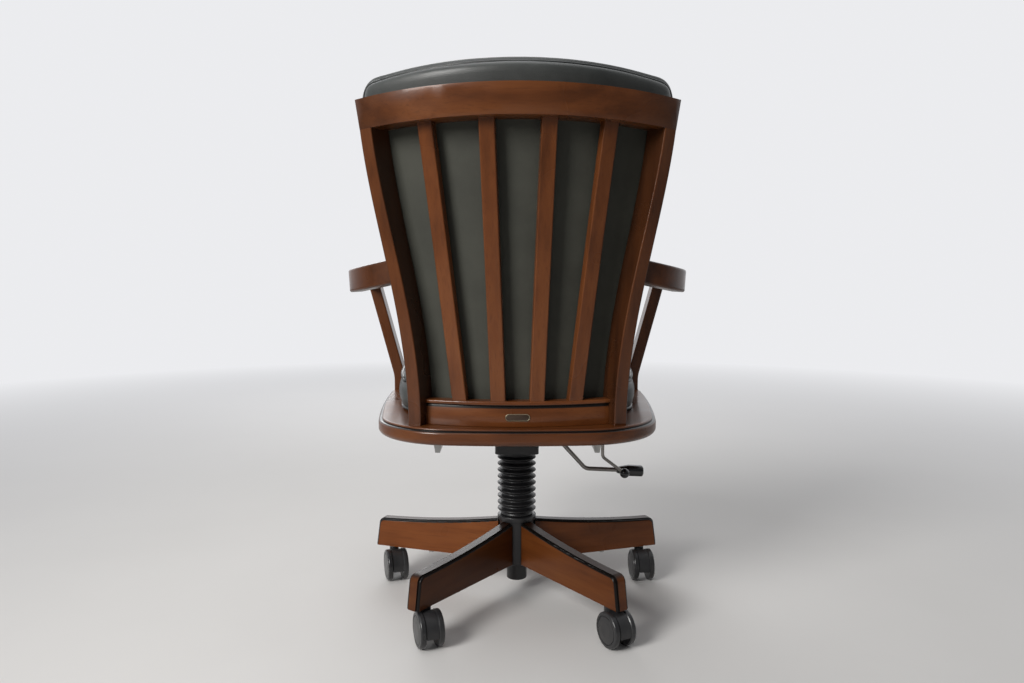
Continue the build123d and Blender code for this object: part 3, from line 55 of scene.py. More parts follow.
# Camera: the photo's place, straight behind the chair at chest height
FOCAL_PX = 800
FRAME_PX = 1024
PITCH_DOWN = 5.107
camera_data = bpy.data.cameras.new("camera")
camera_data.sensor_fit = "HORIZONTAL"
camera_data.sensor_width = 36
camera_data.lens = 36 * FOCAL_PX / FRAME_PX
camera = bpy.data.objects.new("camera", camera_data)
camera.location = (-0.009, -1.495, 0.616)
camera.rotation_euler = (math.radians(90 - PITCH_DOWN), 0, 0)
scene.collection.objects.link(camera)
scene.camera = camera


# Materials


class Shader:
    """A Principled material with a few short-hands for its nodes."""

    def __init__(self, name, roughness, **constants):
        self.material = bpy.data.materials.new(name)
        self.material.use_nodes = True
        self.tree = self.material.node_tree
        self.bsdf = self.tree.nodes["Principled BSDF"]
        self.bsdf.inputs["Roughness"].default_value = roughness
        for socket, value in constants.items():
            self.bsdf.inputs[socket.replace("_", " ")].default_value = value
        self.place = self.tree.nodes.new("ShaderNodeTexCoord").outputs["Object"]

    def node(self, kind, inputs=None, **settings):
        made = self.tree.nodes.new(kind)
        for key, value in settings.items():
            setattr(made, key, value)
        for key, value in (inputs or {}).items():
            if isinstance(value, bpy.types.NodeSocket):
                self.tree.links.new(value, made.inputs[key])
            else:
                made.inputs[key].default_value = value
        return made

    def mapped(self, vector, rotation=(0, 0, 0), scale=(1, 1, 1)):
        inputs = {"Vector": vector, "Rotation": rotation, "Scale": scale}
        return self.node("ShaderNodeMapping", inputs).outputs[0]

    def noise(self, vector, scale, detail=4.0, roughness=0.55):
        return self.node(
            "ShaderNodeTexNoise", {"Vector": vector, "Scale": scale, "Detail": detail, "Roughness": roughness}
        ).outputs["Fac"]

    def math(self, operation, a, b=0.0, clamp=False):
        return self.node("ShaderNodeMath", {0: a, 1: b}, operation=operation, use_clamp=clamp).outputs[0]

    def ramp(self, factor, *stops):
        made = self.node("ShaderNodeValToRGB", {"Fac": factor})
        elements = made.color_ramp.elements
        while len(elements) < len(stops):
            elements.new(0.5)
        for element, (place, colour) in zip(elements, stops):
            element.position = place
            element.color = (*colour, 1)
        return made.outputs["Color"]

    def remap(self, value, low, high, to_low, to_high):
        return self.node(
            "ShaderNodeMapRange",
            {"Value": value, "From Min": low, "From Max": high, "To Min": to_low, "To Max": to_high},
        ).outputs[0]

    def mix(self, factor, a, b, blend="MIX"):
        made = self.node("ShaderNodeMix", data_type="RGBA", blend_type=blend)
        for index, value in ((0, factor), (6, a), (7, b)):
            if isinstance(value, bpy.types.NodeSocket):
                self.tree.links.new(value, made.inputs[index])
            else:
                made.inputs[index].default_value = value if index == 0 else (*value, 1)
        return made.outputs[2]

    def bump(self, height, strength, distance, below=None):
        inputs = {"Height": height, "Strength": strength, "Distance": distance}
        if below is not None:
            inputs["Normal"] = below
        return self.node("ShaderNodeBump", inputs).outputs[0]

    def use(self, socket, value):
        self.tree.links.new(value, self.bsdf.inputs[socket])


STAIN_DARK = (0.060, 0.0170, 0.0042)
STAIN_MID = (0.125, 0.0365, 0.0088)
STAIN_LIGHT = (0.180, 0.0580, 0.0150)
# Near-black for glazing, also used as painted shade.
GLAZE_AND_SHADE = (0.0055, 0.0042, 0.0036)


def band(shader, value, low, high, soft):
    """1 where value lies between low and high, with soft shoulders."""
    rising = shader.remap(value, low - soft, low, 0, 1)
    falling = shader.remap(value, high, high + soft, 1, 0)
    return shader.math("MULTIPLY", rising, falling)


def wood(name, grain_turn, glaze_and_shade=None, seed=0.0, shade=1.0, lacquer=0.30, gloss=0.28):
    """Stained and lacquered wood: the grain runs along X once the piece is turned by grain_turn."""
    shader = Shader(name, 0.3, Coat_Weight=lacquer, Coat_Roughness=0.11, Specular_IOR_Level=gloss)
    shift = (seed, seed * 0.7, seed * 1.3)
    place = shader.node("ShaderNodeVectorMath", {0: shader.place, 1: shift}, operation="ADD").outputs[0]
    turned = shader.mapped(place, rotation=grain_turn)
    figure = shader.mapped(turned, scale=(1.6, 17, 17))
    pores = shader.mapped(turned, scale=(14, 420, 420))
    rings = shader.noise(figure, 2.4, 5.0, 0.6)
    fleck = shader.noise(pores, 1.0, 2.0, 0.5)
    cloud = shader.noise(place, 7.0, 2.0, 0.5)
    tone = shader.math("ADD", shader.math("MULTIPLY", rings, 0.62), shader.math("MULTIPLY", cloud, 0.38))
    stops = ((0.30, STAIN_DARK), (0.50, STAIN_MID), (0.72, STAIN_LIGHT))
    # The shade factor scales the wood colours: plain tone for most pieces, painted light and shade for the
    # legs.
    colour = shader.ramp(tone, *[(place, tuple(c * shade for c in wood_look)) for place, wood_look in stops])
    colour = shader.mix(shader.remap(fleck, 0.56, 0.74, 0.0, 0.42), colour, STAIN_DARK)
    # Mixes in near-black by a mask that is part glazing, part painted shade.
    if glaze_and_shade is not None:
        colour = shader.mix(glaze_and_shade(shader), colour, GLAZE_AND_SHADE)
    shader.use("Base Color", colour)
    shader.use("Roughness", shader.remap(cloud, 0.3, 0.7, 0.24, 0.38))
    grain = shader.bump(fleck, 0.10, 0.0004)
    shader.use("Normal", shader.bump(cloud, 0.03, 0.002, grain))
    return shader.material


LEG_STRIP_HALF, LEG_HALF = 0.0079, 0.01305
LEG_GLAZE_AND_SHADE_SOFT = 0.00035


def leg_glaze_and_shade(angle):
    """Black glazing on a leg's rounded shoulders beside its raised strip, partly painted shade in the step,
    and painted shade on its upward-facing top.
    """

    def factor(shader):
        across = shader.mapped(shader.place, rotation=(0, 0, math.radians(-angle)))
        y = shader.node("ShaderNodeSeparateXYZ", {0: across}).outputs["Y"]
        shoulder = band(shader, shader.math("ABSOLUTE", y), LEG_STRIP_HALF, LEG_HALF, LEG_GLAZE_AND_SHADE_SOFT)
        # Painted shade: faces turned upwards are darkened by their normal.
        normal = shader.node("ShaderNodeNewGeometry").outputs["Normal"]
        upward = shader.node("ShaderNodeSeparateXYZ", {0: normal}).outputs["Z"]
        return shader.math("MAXIMUM", shoulder, shader.remap(upward, 0.55, 0.9, 0, 0.82))

    return factor


def flank_painted_shade(shader):
    """Painted shade on the flanks of an upright, from the sideways pointing normal."""
    normal = shader.node("ShaderNodeNewGeometry").outputs["Normal"]
    sideways = shader.math("ABSOLUTE", shader.node("ShaderNodeSeparateXYZ", {0: normal}).outputs["X"])
    return shader.remap(sideways, 0.55, 0.85, 0, 0.55)


def end_darkening(shader):
    """Darkens the top rail towards its ends."""
    across = shader.math("ABSOLUTE", shader.node("ShaderNodeSeparateXYZ", {0: shader.place}).outputs["X"])
    return shader.remap(across, 0.16, 0.25, 0, 0.5)


def groove_glaze_and_shade(*bands):
    """Black glazing in level grooves between the given heights, partly painted shade in those recesses."""

    def factor(shader):
        z = shader.node("ShaderNodeSeparateXYZ", {0: shader.place}).outputs["Z"]
        total = None
        for low, high, soft in bands:
            one = band(shader, z, low, high, soft)
            total = one if total is None else shader.math("MAXIMUM", total, one)
        return total

    return factor


def leather(name, dark, light, grain=420.0, roughness=0.42, crease=0.35, gloss=0.42, coat=0.12):
    shader = Shader(name, roughness, Specular_IOR_Level=gloss, Coat_Weight=coat, Coat_Roughness=0.28)
    cells = shader.node(
        "ShaderNodeTexVoronoi", {"Vector": shader.place, "Scale": grain}, feature="DISTANCE_TO_EDGE"
    ).outputs["Distance"]
    pebble = shader.remap(cells, 0.0, 0.22, 0.0, 1.0)
    cloud = shader.noise(shader.place, 9.0, 5.0, 0.6)
    fold = shader.noise(shader.place, 30.0, 3.0, 0.5)
    colour = shader.ramp(cloud, (0.32, dark), (0.7, light))
    shader.use("Base Color", shader.mix(shader.remap(pebble, 0.0, 0.6, 0.30, 0.0), colour, dark))
    shader.use("Roughness", shader.remap(cloud, 0.3, 0.7, roughness - 0.06, roughness + 0.08))
    fine = shader.bump(pebble, 0.22, 0.00035)
    shader.use("Normal", shader.bump(fold, crease * 0.3, 0.0016, fine))
    return shader.material


def moulded(name, colour, roughness, grain=900.0, bump=0.10, **constants):
    """Moulded plastic, rubber or powder coat: fine orange peel with slightly uneven gloss."""
    shader = Shader(name, roughness, **constants)
    peel = shader.noise(shader.place, grain, 2.0)
    cloud = shader.noise(shader.place, 26.0, 3.0)
    pale = tuple(c * 1.7 + 0.002 for c in colour)
    shader.use("Base Color", shader.ramp(cloud, (0.3, colour), (0.75, pale)))
    shader.use("Roughness", shader.remap(cloud, 0.3, 0.7, roughness - 0.05, roughness + 0.07))
    shader.use("Normal", shader.bump(peel, bump, 0.0003))
    return shader.material


def metal(name, colour, roughness, brushed=(40, 900, 900), streak=0.08):
    shader = Shader(name, roughness, Metallic=1.0)
    streaks = shader.noise(shader.mapped(shader.place, scale=brushed), 1.0, 2.0)
    cloud = shader.noise(shader.place, 40.0, 4.0)
    dull = tuple(c * 0.7 for c in colour)
    shader.use("Base Color", shader.ramp(cloud, (0.3, dull), (0.62, colour)))
    shader.use("Roughness", shader.remap(streaks, 0.3, 0.7, roughness - 0.07, roughness + 0.1))
    shader.use("Normal", shader.bump(streaks, streak, 0.0002))
    return shader.material


ALONG_X = (0, 0, 0)
ALONG_Y = (0, 0, math.radians(-90))
ALONG_Z = (0, math.radians(90), 0)
LEG_ANGLES = [90 + 72 * index for index in range(5)]
# Painted light: one brightness factor per leg, so each leg looks lit or shaded as the lamps fall on it.
LEG_PAINTED_LIGHT = (1.0, 1.35, 0.55, 0.80, 1.0)

mat_leather = leather("pad_leather", (0.028, 0.031, 0.030), (0.062, 0.067, 0.065))
PIPING_DARK, PIPING_LIGHT = (0.010, 0.012, 0.012), (0.022, 0.025, 0.024)
mat_piping = leather("piping_leather", PIPING_DARK, PIPING_LIGHT, grain=700, roughness=0.36)
PANEL_DARK, PANEL_LIGHT = (0.043, 0.044, 0.036), (0.066, 0.067, 0.055)
mat_panel = leather("panel_leathercloth", PANEL_DARK, PANEL_LIGHT, 620, 0.66, 0.15, gloss=0.25, coat=0.0)
mat_coat = moulded("black_powder_coat", (0.011, 0.011, 0.012), 0.36)
mat_plastic = moulded("black_moulding", (0.014, 0.014, 0.015), 0.44)
mat_wheel = moulded("wheel_nylon", (0.016, 0.016, 0.017), 0.30, grain=500, bump=0.05)
mat_rubber = moulded("bellows_rubber", (0.008, 0.008, 0.009), 0.38, grain=700, bump=0.12)
mat_handle = moulded("handle_plastic", (0.007, 0.007, 0.008), 0.16, bump=0.03, Coat_Weight=0.3)
mat_zinc = metal("zinc_plate", (0.50, 0.50, 0.49), 0.34)
mat_lever = metal("lever_steel", (0.34, 0.32, 0.30), 0.30)
mat_bright = metal("plated_steel", (0.62, 0.62, 0.63), 0.16, streak=0.03)
mat_plate = metal("plate_brass", (0.46, 0.40, 0.28), 0.36, brushed=(900, 60, 60))
mat_plate_ground = moulded("plate_enamel", (0.030, 0.017, 0.010), 0.35)
mat_thread = moulded("seam_thread", (0.020, 0.021, 0.020), 0.6, grain=1500, bump=0.2)


def paint(name, material):
    slots = nodes[name].data.materials
    slots.clear()
    slots.append(material)


for index, angle in enumerate(LEG_ANGLES):
    turn = (0, 0, math.radians(-angle))
    # The shade factor here is painted light, different for each leg.
    wood_look = dict(seed=index * 0.37, shade=LEG_PAINTED_LIGHT[index], lacquer=0.12, gloss=0.14)
    paint(f"leg_{index + 1}", wood(f"leg_wood_{index + 1}", turn, leg_glaze_and_shade(angle), **wood_look))
for index in range(4):
    paint(f"back_slat_{index + 1}", wood(f"slat_wood_{index + 1}", ALONG_Z, seed=1.1 + index * 0.53))
# Posts: painted shade darkens their flanks.
paint("back_post_left", wood("post_wood_left", ALONG_Z, flank_painted_shade, seed=3.1, shade=0.75))
paint("back_post_right", wood("post_wood_right", ALONG_Z, flank_painted_shade, seed=3.9, shade=0.75))
# Top rail: darker towards its ends.
paint("top_rail", wood("top_rail_wood", ALONG_X, end_darkening, seed=4.4, shade=0.9))
# Grooves: black glazing that also paints shade into the recesses.
paint("bottom_rail", wood("bottom_rail_wood", ALONG_X, groove_glaze_and_shade((0.3965, 0.402, 0.0012)), seed=5.2))
paint("bottom_rail_cap", wood("rail_cap_wood", ALONG_X, groove_glaze_and_shade((0.399, 0.4018, 0.0008)), seed=5.9))
paint("seat_board", wood("seat_wood", ALONG_X, groove_glaze_and_shade((0.3609, 0.3631, 0.0006)), seed=6.6, shade=0.8))
for side in ("left", "right"):
    paint(f"arm_{side}", wood(f"arm_wood_{side}", ALONG_Y, seed=7.3, shade=0.55))
    paint(f"arm_strut_{side}", wood(f"strut_wood_{side}", ALONG_Z, seed=8.1, shade=0.75))

PLAIN = {
    "base_hub": mat_coat,
    "column_tube": mat_coat,
    "tilt_housing": mat_coat,
    "tilt_plate": mat_coat,
    "guide_bush": mat_plastic,
    "thrust_bearing": mat_zinc,
    "leg_bolts": mat_zinc,
    "caster_sockets": mat_zinc,
    "caster_stems": mat_zinc,
    "pivot_pins": mat_zinc,
    "frame_bolts": mat_zinc,
    "seat_screws": mat_zinc,
    "seat_rails": mat_zinc,
    "height_lever": mat_lever,
    "lock_lever": mat_lever,
    "piston_rod": mat_bright,
    "gas_cylinder": mat_bright,
    "valve_pin": mat_bright,
    "torsion_bushes": mat_rubber,
    "tension_knob": mat_plastic,
    "height_paddle": mat_handle,
    "lock_ball": mat_handle,
}
for name, material in PLAIN.items():
    paint(name, material)
for index in range(1, 6):
    paint(f"caster_hood_{index}", mat_plastic)
    for side in ("left", "right"):
        paint(f"caster_wheel_{index}_{side}", mat_wheel)


def soften(name, width, segments=2):
    """Eases a CAD node's sharp edges, as sanding or moulding does."""
    weld = nodes[name].modifiers.new("weld", "WELD")
    weld.merge_threshold = 0.00002
    bevel = nodes[name].modifiers.new("eased_edges", "BEVEL")
    bevel.width = width
    bevel.segments = segments
    bevel.limit_method = "ANGLE"
    bevel.angle_limit = math.radians(38)
    bevel.harden_normals = False


# Shapes of the back, repeated from the part in metres. The pad's top is 5 mm wider to each side, and fuller.
BACK_R = 0.430
SEAT_TOP = 0.366
BACK_TOP = 0.882
BACK_FOOT_Y = -0.254
BACK_LEAN = 0.086
BACK_BOW = 0.010
FLARE_BIAS = 1.12
PANEL_REAR_R = 0.3875
PAD_REAR_R = 0.3840
PAD_BOTTOM = 0.394
PAD_TOP = 0.934
PAD_FOOT_X = 0.168
PAD_TOP_X = 0.253
PAD_TOP_ARCH = 0.020
PAD_CORNER = 0.034
PAD_THICK = 0.052
PAD_EDGE_THICK = 0.028
PAD_FULLNESS = 0.9
PANEL_TOP = 0.868


def back_y(z):
    share = (z - SEAT_TOP) / (BACK_TOP - SEAT_TOP)
    return BACK_FOOT_Y - BACK_LEAN * share + 4 * BACK_BOW * share * (1 - share)


def flare(z):
    share = np.clip((z - SEAT_TOP) / (BACK_TOP - SEAT_TOP), 0, 1) ** FLARE_BIAS
    return share * share * (3 - 2 * share)


def pad_half_angle(z):
    return np.arcsin((PAD_FOOT_X + (PAD_TOP_X - PAD_FOOT_X) * flare(z)) / PAD_REAR_R)


def on_back(angle, z, depth, rear_r=PAD_REAR_R):
    """Point at a bow angle and height, and at a depth in front of the rear face."""
    radius = rear_r - depth
    return np.stack([radius * np.sin(angle), back_y(z) + BACK_R - radius * np.cos(angle), z], axis=-1)


def mesh_object(name, vertices, faces, material, smooth=True):
    mesh = bpy.data.meshes.new(name)
    mesh.from_pydata([tuple(v) for v in vertices], [], faces)
    mesh.validate()
    made = bpy.data.objects.new(name, mesh)
    scene.collection.objects.link(made)
    mesh.materials.append(material)
    for polygon in mesh.polygons:
        polygon.use_smooth = smooth
    return made


def ring_mesh(name, rings, material):
    """A closed skin through rings of one even count, the first and last closed by strips across them."""
    count = len(rings[0])
    faces = []
    for level in range(len(rings) - 1):
        for step in range(count):
            after = (step + 1) % count
            low, high = level * count, (level + 1) * count
            faces.append((low + step, low + after, high + after, high + step))
    top = (len(rings) - 1) * count
    for step in range(count // 2 - 1):
        strip = (step, step + 1, count - 2 - step, count - 1 - step)
        faces.append(strip[::-1])
        faces.append(tuple(top + corner for corner in strip))
    return mesh_object(name, np.concatenate(rings), faces, material)


def apply_modifiers(piece):
    """Keeps the piece's shown shape as its own mesh."""
    graph = bpy.context.evaluated_depsgraph_get()
    shown = bpy.data.meshes.new_from_object(piece.evaluated_get(graph))
    old = piece.data
    piece.modifiers.clear()
    piece.data = shown
    bpy.data.meshes.remove(old)


CLOTH_MESH = 0.006
CLOTH_PRESSURE = 3.0
CLOTH_STEPS = 20
SWELL_NEIGHBOURS = 32


def tree_of(piece):
    graph = bpy.context.evaluated_depsgraph_get()
    return BVHTree.FromObject(piece, graph)


def swollen(piece, is_held):
    """Points of an evenly meshed copy of a cover, and how far each moves as cloth under inner pressure."""
    skin = tree_of(piece)
    form = bpy.data.objects.new(f"{piece.name}_form", piece.data.copy())
    scene.collection.objects.link(form)
    remesh = form.modifiers.new("remesh", "REMESH")
    remesh.mode = "VOXEL"
    remesh.voxel_size = CLOTH_MESH
    apply_modifiers(form)
    for vertex in form.data.vertices:
        vertex.co = skin.find_nearest(vertex.co)[0]
    before = np.array([v.co for v in form.data.vertices])
    held = form.vertex_groups.new(name="held")
    held.add(np.flatnonzero(is_held(before)).tolist(), 1.0, "REPLACE")
    cloth = form.modifiers.new("cloth", "CLOTH")
    cloth.settings.vertex_group_mass = held.name
    cloth.settings.use_pressure = True
    cloth.settings.uniform_pressure_force = CLOTH_PRESSURE
    cloth.settings.effector_weights.gravity = 0
    cloth.point_cache.frame_end = CLOTH_STEPS
    for step in range(1, CLOTH_STEPS + 1):
        scene.frame_set(step)
    apply_modifiers(form)
    scene.frame_set(1)
    moved = np.array([v.co for v in form.data.vertices]) - before
    mesh = form.data
    bpy.data.objects.remove(form)
    bpy.data.meshes.remove(mesh)
    return before, moved


def stuffed(piece, cap, is_held):
    """Swells a cover by at most cap, except where it is held to its board."""
    places, moved = swollen(piece, is_held)
    length = np.linalg.norm(moved, axis=1, keepdims=True)
    moved *= np.minimum(1, cap / np.maximum(length, 1e-9))
    nearby = KDTree(len(places))
    for index, place in enumerate(places):
        nearby.insert(place, index)
    nearby.balance()
    for vertex in piece.data.vertices:
        found = nearby.find_n(vertex.co, SWELL_NEIGHBOURS)
        weights = np.array([1 / (distance + CLOTH_MESH) for _, _, distance in found])
        vertex.co += Vector(weights @ moved[[index for _, index, _ in found]] / weights.sum())
    piece.data.update()
    divided = piece.modifiers.new("subdivision", "SUBSURF")
    divided.levels = 1
    divided.render_levels = 1


def settle(points, piece, lift):
    """Points moved onto a piece's skin and raised by lift along its normal."""
    tree = tree_of(piece)
    placed = []
    for point in points:
        near, normal, _, _ = tree.find_nearest(Vector(point))
        placed.append(near + normal * lift)
    return [tuple(p) for p in placed]


def tube(name, points, radius, material, closed=True):
    """A round cord sewn along points."""
    data = bpy.data.curves.new(name, "CURVE")
    data.dimensions = "3D"
    data.bevel_depth = radius
    data.bevel_resolution = 3
    data.resolution_u = 3
    spline = data.splines.new("NURBS")
    spline.points.add(len(points) - 1)
    for spot, point in zip(spline.points, points):
        spot.co = (*point, 1)
    spline.order_u = 3
    spline.use_cyclic_u = closed
    spline.use_endpoint_u = not closed
    data.materials.append(material)
    made = bpy.data.objects.new(name, data)
    scene.collection.objects.link(made)
    return made


def dress(piece, body, slot, *replaced):
    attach(piece, body)
    if replaced:
        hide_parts(*replaced)
    return piece


# Back pad: rear roll, piped seam, higher front roll and a crowned face


def rounded_loop(line, rounding, count, dense_count=1200):
    """Even points along a closed line, its corners rounded by averaging over a length."""
    closed = np.concatenate([line, line[:1]])
    length = np.concatenate([[0], np.cumsum(np.linalg.norm(np.diff(closed, axis=0), axis=1))])
    places = np.linspace(0, length[-1], dense_count, endpoint=False)
    even = np.stack([np.interp(places, length, closed[:, axis]) for axis in (0, 1)], axis=1)
    window = int(dense_count * rounding / length[-1])
    kernel = np.ones(2 * window + 1) / (2 * window + 1)
    wrapped = np.concatenate([even[-window:], even, even[:window]])
    rounded = np.stack([np.convolve(wrapped[:, axis], kernel, "valid") for axis in (0, 1)], axis=1)
    return rounded[:: dense_count // count][:count]


def pad_loop(count=240):
    """The pad's outline as it lies flat, seen from behind: length along the bow, and height."""
    rise = np.linspace(PAD_BOTTOM, PAD_TOP - PAD_TOP_ARCH, 80)
    side = PAD_REAR_R * pad_half_angle(rise)
    across = np.linspace(side[-1], -side[-1], 80)
    arch = PAD_TOP - PAD_TOP_ARCH * (across / side[-1]) ** 2
    right, top = np.stack([side, rise], axis=1), np.stack([across, arch], axis=1)
    left = np.stack([-side[::-1], rise[::-1]], axis=1)
    return rounded_loop(np.concatenate([right, top, left]), PAD_CORNER, count)


pad_flat = pad_loop()
pad_along = np.roll(pad_flat, -1, axis=0) - np.roll(pad_flat, 1, axis=0)
pad_inward = np.stack([-pad_along[:, 1], pad_along[:, 0]], axis=1)
pad_inward /= np.linalg.norm(pad_inward, axis=1, keepdims=True)
pad_middle = np.array([0, (PAD_BOTTOM + PAD_TOP) / 2])


def pad_ring(inset, share, shrink=1.0):
    """The pad's outline drawn in by an inset and shrunk, at a share of the pad's thickness."""
    flat = pad_middle + (pad_flat + inset * pad_inward - pad_middle) * shrink
    along, z = flat.T
    edge = np.clip(along / PAD_REAR_R / pad_half_angle(z), -1, 1)
    depth = share * (PAD_EDGE_THICK + (PAD_THICK - PAD_EDGE_THICK) * (1 - edge**2))
    return on_back(along / (PAD_REAR_R - PAD_FULLNESS * depth), z, depth)


def behind_seam(points):
    x, y, z = points.T
    return PAD_REAR_R - np.hypot(x, y - back_y(z) - BACK_R) < SEAM_SHARE * PAD_EDGE_THICK


SEAM_INSET, SEAM_SHARE = 0.0095, 0.455
PIPING_R, PIPING_LIFT = 0.0028, 0.0012
STITCH_R, STITCH_LIFT = 0.0008, 0.0002
PAD_SWELL = 0.005
ROLL_INSET = 0.024
crown = ((1, 0.03), (1, 0.1), (1, 0.2), (1, 0.3), (1, 0.4), (1, 0.5), (0.998, 0.6), (0.995, 0.7), (0.99, 0.8))
crown += ((0.98, 0.9), (0.955, 1))
pad_face = [(ROLL_INSET, share, shrink) for share, shrink in crown]
pad_front_roll = [(0.012, 0.90), (0.003, 0.84), (-0.002, 0.76), (-0.004, 0.67), (-0.001, 0.58), (0.006, 0.51)]
pad_rear_roll = [(0.0105, SEAM_SHARE), (0.010, 0.36), (0.0115, 0.24), (0.0155, 0.12), (0.022, 0.04)]
pad_back = [(ROLL_INSET, 0.01, shrink) for shrink in (0.96, 0.7, 0.35, 0.04)]
pad_layers = pad_face + pad_front_roll + pad_rear_roll + pad_back
back_pad = ring_mesh("back_pad_cover", [pad_ring(*layer) for layer in pad_layers], mat_leather)
stuffed(back_pad, PAD_SWELL, behind_seam)
dress(back_pad, "seat", "leather", "back_pad")
seam = settle(pad_ring(SEAM_INSET, SEAM_SHARE), back_pad, PIPING_LIFT)
dress(tube("back_pad_piping", seam, PIPING_R, mat_piping), "seat", "leather")
front_seam = settle(pad_ring(ROLL_INSET, 0.96), back_pad, STITCH_LIFT)
dress(tube("back_pad_topstitch", front_seam, STITCH_R, mat_thread), "seat", "leather")


# Rear panel: leathercloth stretched over a board, swelling a little between the slats

PANEL_INSET = 0.008
PANEL_THICK = 0.003
PANEL_SWELL = 0.0004
panel_vertices, panel_faces = [], []
PANEL_COLUMNS, PANEL_ROWS = 60, 80
for layer in (0.0, PANEL_THICK):
    for row in range(PANEL_ROWS + 1):
        z = PAD_BOTTOM + PANEL_INSET + (PANEL_TOP - PAD_BOTTOM - PANEL_INSET) * row / PANEL_ROWS
        half = float(pad_half_angle(z)) - PANEL_INSET / PAD_REAR_R
        for column in range(PANEL_COLUMNS + 1):
            share = 2 * column / PANEL_COLUMNS - 1
            arch = PAD_TOP_ARCH * share * share * (row / PANEL_ROWS) ** 6
            height = z - arch
            swell = PANEL_SWELL * math.cos(share * 2.5 * math.pi) ** 2 if layer == 0 else 0
            radius = PANEL_REAR_R - layer + swell
            turn = half * share
            panel_vertices.append(
                (radius * math.sin(turn), float(back_y(height)) + BACK_R - radius * math.cos(turn), height)
            )
stride = PANEL_COLUMNS + 1
sheet_size = stride * (PANEL_ROWS + 1)
for row in range(PANEL_ROWS):
    for column in range(PANEL_COLUMNS):
        corner = row * stride + column
        panel_faces.append((corner, corner + 1, corner + stride + 1, corner + stride))
        corner += sheet_size
        panel_faces.append((corner, corner + stride, corner + stride + 1, corner + 1))
edge = list(range(stride))
edge += [row * stride + PANEL_COLUMNS for row in range(1, PANEL_ROWS + 1)]
edge += [PANEL_ROWS * stride + column for column in range(PANEL_COLUMNS - 1, -1, -1)]
edge += [row * stride for row in range(PANEL_ROWS - 1, 0, -1)]
for a, b in zip(edge, edge[1:] + edge[:1]):
    panel_faces.append((a, a + sheet_size, b + sheet_size, b))
panel = mesh_object("back_panel_cover", panel_vertices, panel_faces, mat_panel)
dress(panel, "seat", "panel_leather", "back_panel")


# Seat cushion: boxed sides with piping above and below, crowned top

CUSHION_REAR_Y, CUSHION_REAR = -0.144, (0.203, -0.126)
CUSHION_SIDE = (0.227, 0.010)
CUSHION_FRONT, CUSHION_FRONT_Y = (0.232, 0.214), 0.236
CUSHION_ROUND = 0.048
CUSHION_FOOT = SEAT_TOP + 0.0006
CUSHION_HELD = 0.006
CUSHION_SWELL = 0.006


def arc_through(a, b, c, count):
    """Points on the circle through three points, from a to c."""
    (ax, ay), (bx, by), (cx, cy) = a, b, c
    d = 2 * (ax * (by - cy) + bx * (cy - ay) + cx * (ay - by))
    sa, sb, sc = ax * ax + ay * ay, bx * bx + by * by, cx * cx + cy * cy
    ox = (sa * (by - cy) + sb * (cy - ay) + sc * (ay - by)) / d
    oy = (sa * (cx - bx) + sb * (ax - cx) + sc * (bx - ax)) / d
    radius = math.hypot(ax - ox, ay - oy)
    start, end = math.atan2(ay - oy, ax - ox), math.atan2(cy - oy, cx - ox)
    turn = (end - start + math.pi) % (2 * math.pi) - math.pi
    angles = start + turn * np.linspace(0, 1, count)
    return np.stack([ox + radius * np.cos(angles), oy + radius * np.sin(angles)], axis=1)


def cushion_outline(count=200):
    """Even points round the cushion's plan."""
    rx, ry = CUSHION_REAR
    fx, fy = CUSHION_FRONT
    sx, sy = CUSHION_SIDE
    line = np.concatenate(
        [
            arc_through((-rx, ry), (0, CUSHION_REAR_Y), (rx, ry), 80),
            arc_through((rx, ry), (sx, sy), (fx, fy), 80),
            arc_through((fx, fy), (0, CUSHION_FRONT_Y), (-fx, fy), 80),
            arc_through((-fx, fy), (-sx, sy), (-rx, ry), 80),
        ]
    )
    return rounded_loop(line, CUSHION_ROUND * 1.25, count)


cushion_plan = cushion_outline()
plan_middle = cushion_plan.mean(axis=0)
reach = np.linalg.norm(cushion_plan - plan_middle, axis=1, keepdims=True)


def cushion_ring(inset, rise):
    scale = (reach - inset) / reach
    plan = plan_middle + (cushion_plan - plan_middle) * scale
    level = np.full((len(plan), 1), CUSHION_FOOT + rise)
    return np.concatenate([plan, level], axis=1)


# Inset from the plan and height over the board, from the foot up
CUSHION_LAYERS = (
    (0.110, 0.0004), (0.030, 0.0004), (0.0140, 0.0016), (0.0090, 0.0070), (0.0035, 0.0180),
    (0.0012, 0.0300), (0.0010, 0.0420), (0.0040, 0.0510), (0.0075, 0.0555), (0.0050, 0.0590),
    (0.0065, 0.0630), (0.0120, 0.0675), (0.0240, 0.0715), (0.0450, 0.0745), (0.0800, 0.0765),
    (0.1200, 0.0775), (0.1500, 0.0780), (0.1720, 0.0781),
)


def on_board(points):
    return points[:, 2] < CUSHION_FOOT + CUSHION_HELD


cushion = ring_mesh("seat_cushion_cover", [cushion_ring(*layer) for layer in CUSHION_LAYERS], mat_leather)
stuffed(cushion, CUSHION_SWELL, on_board)
dress(cushion, "seat", "leather", "seat_cushion")
for name, inset, rise, radius in (("upper", 0.0060, 0.0560, 0.0030), ("lower", 0.0120, 0.0050, 0.0026)):
    line = settle(cushion_ring(inset, rise), cushion, 0.0010)
    dress(tube(f"seat_cushion_piping_{name}", line, radius, mat_piping), "seat", "leather")


# Ribbed sleeve over the column: round-edged ribs

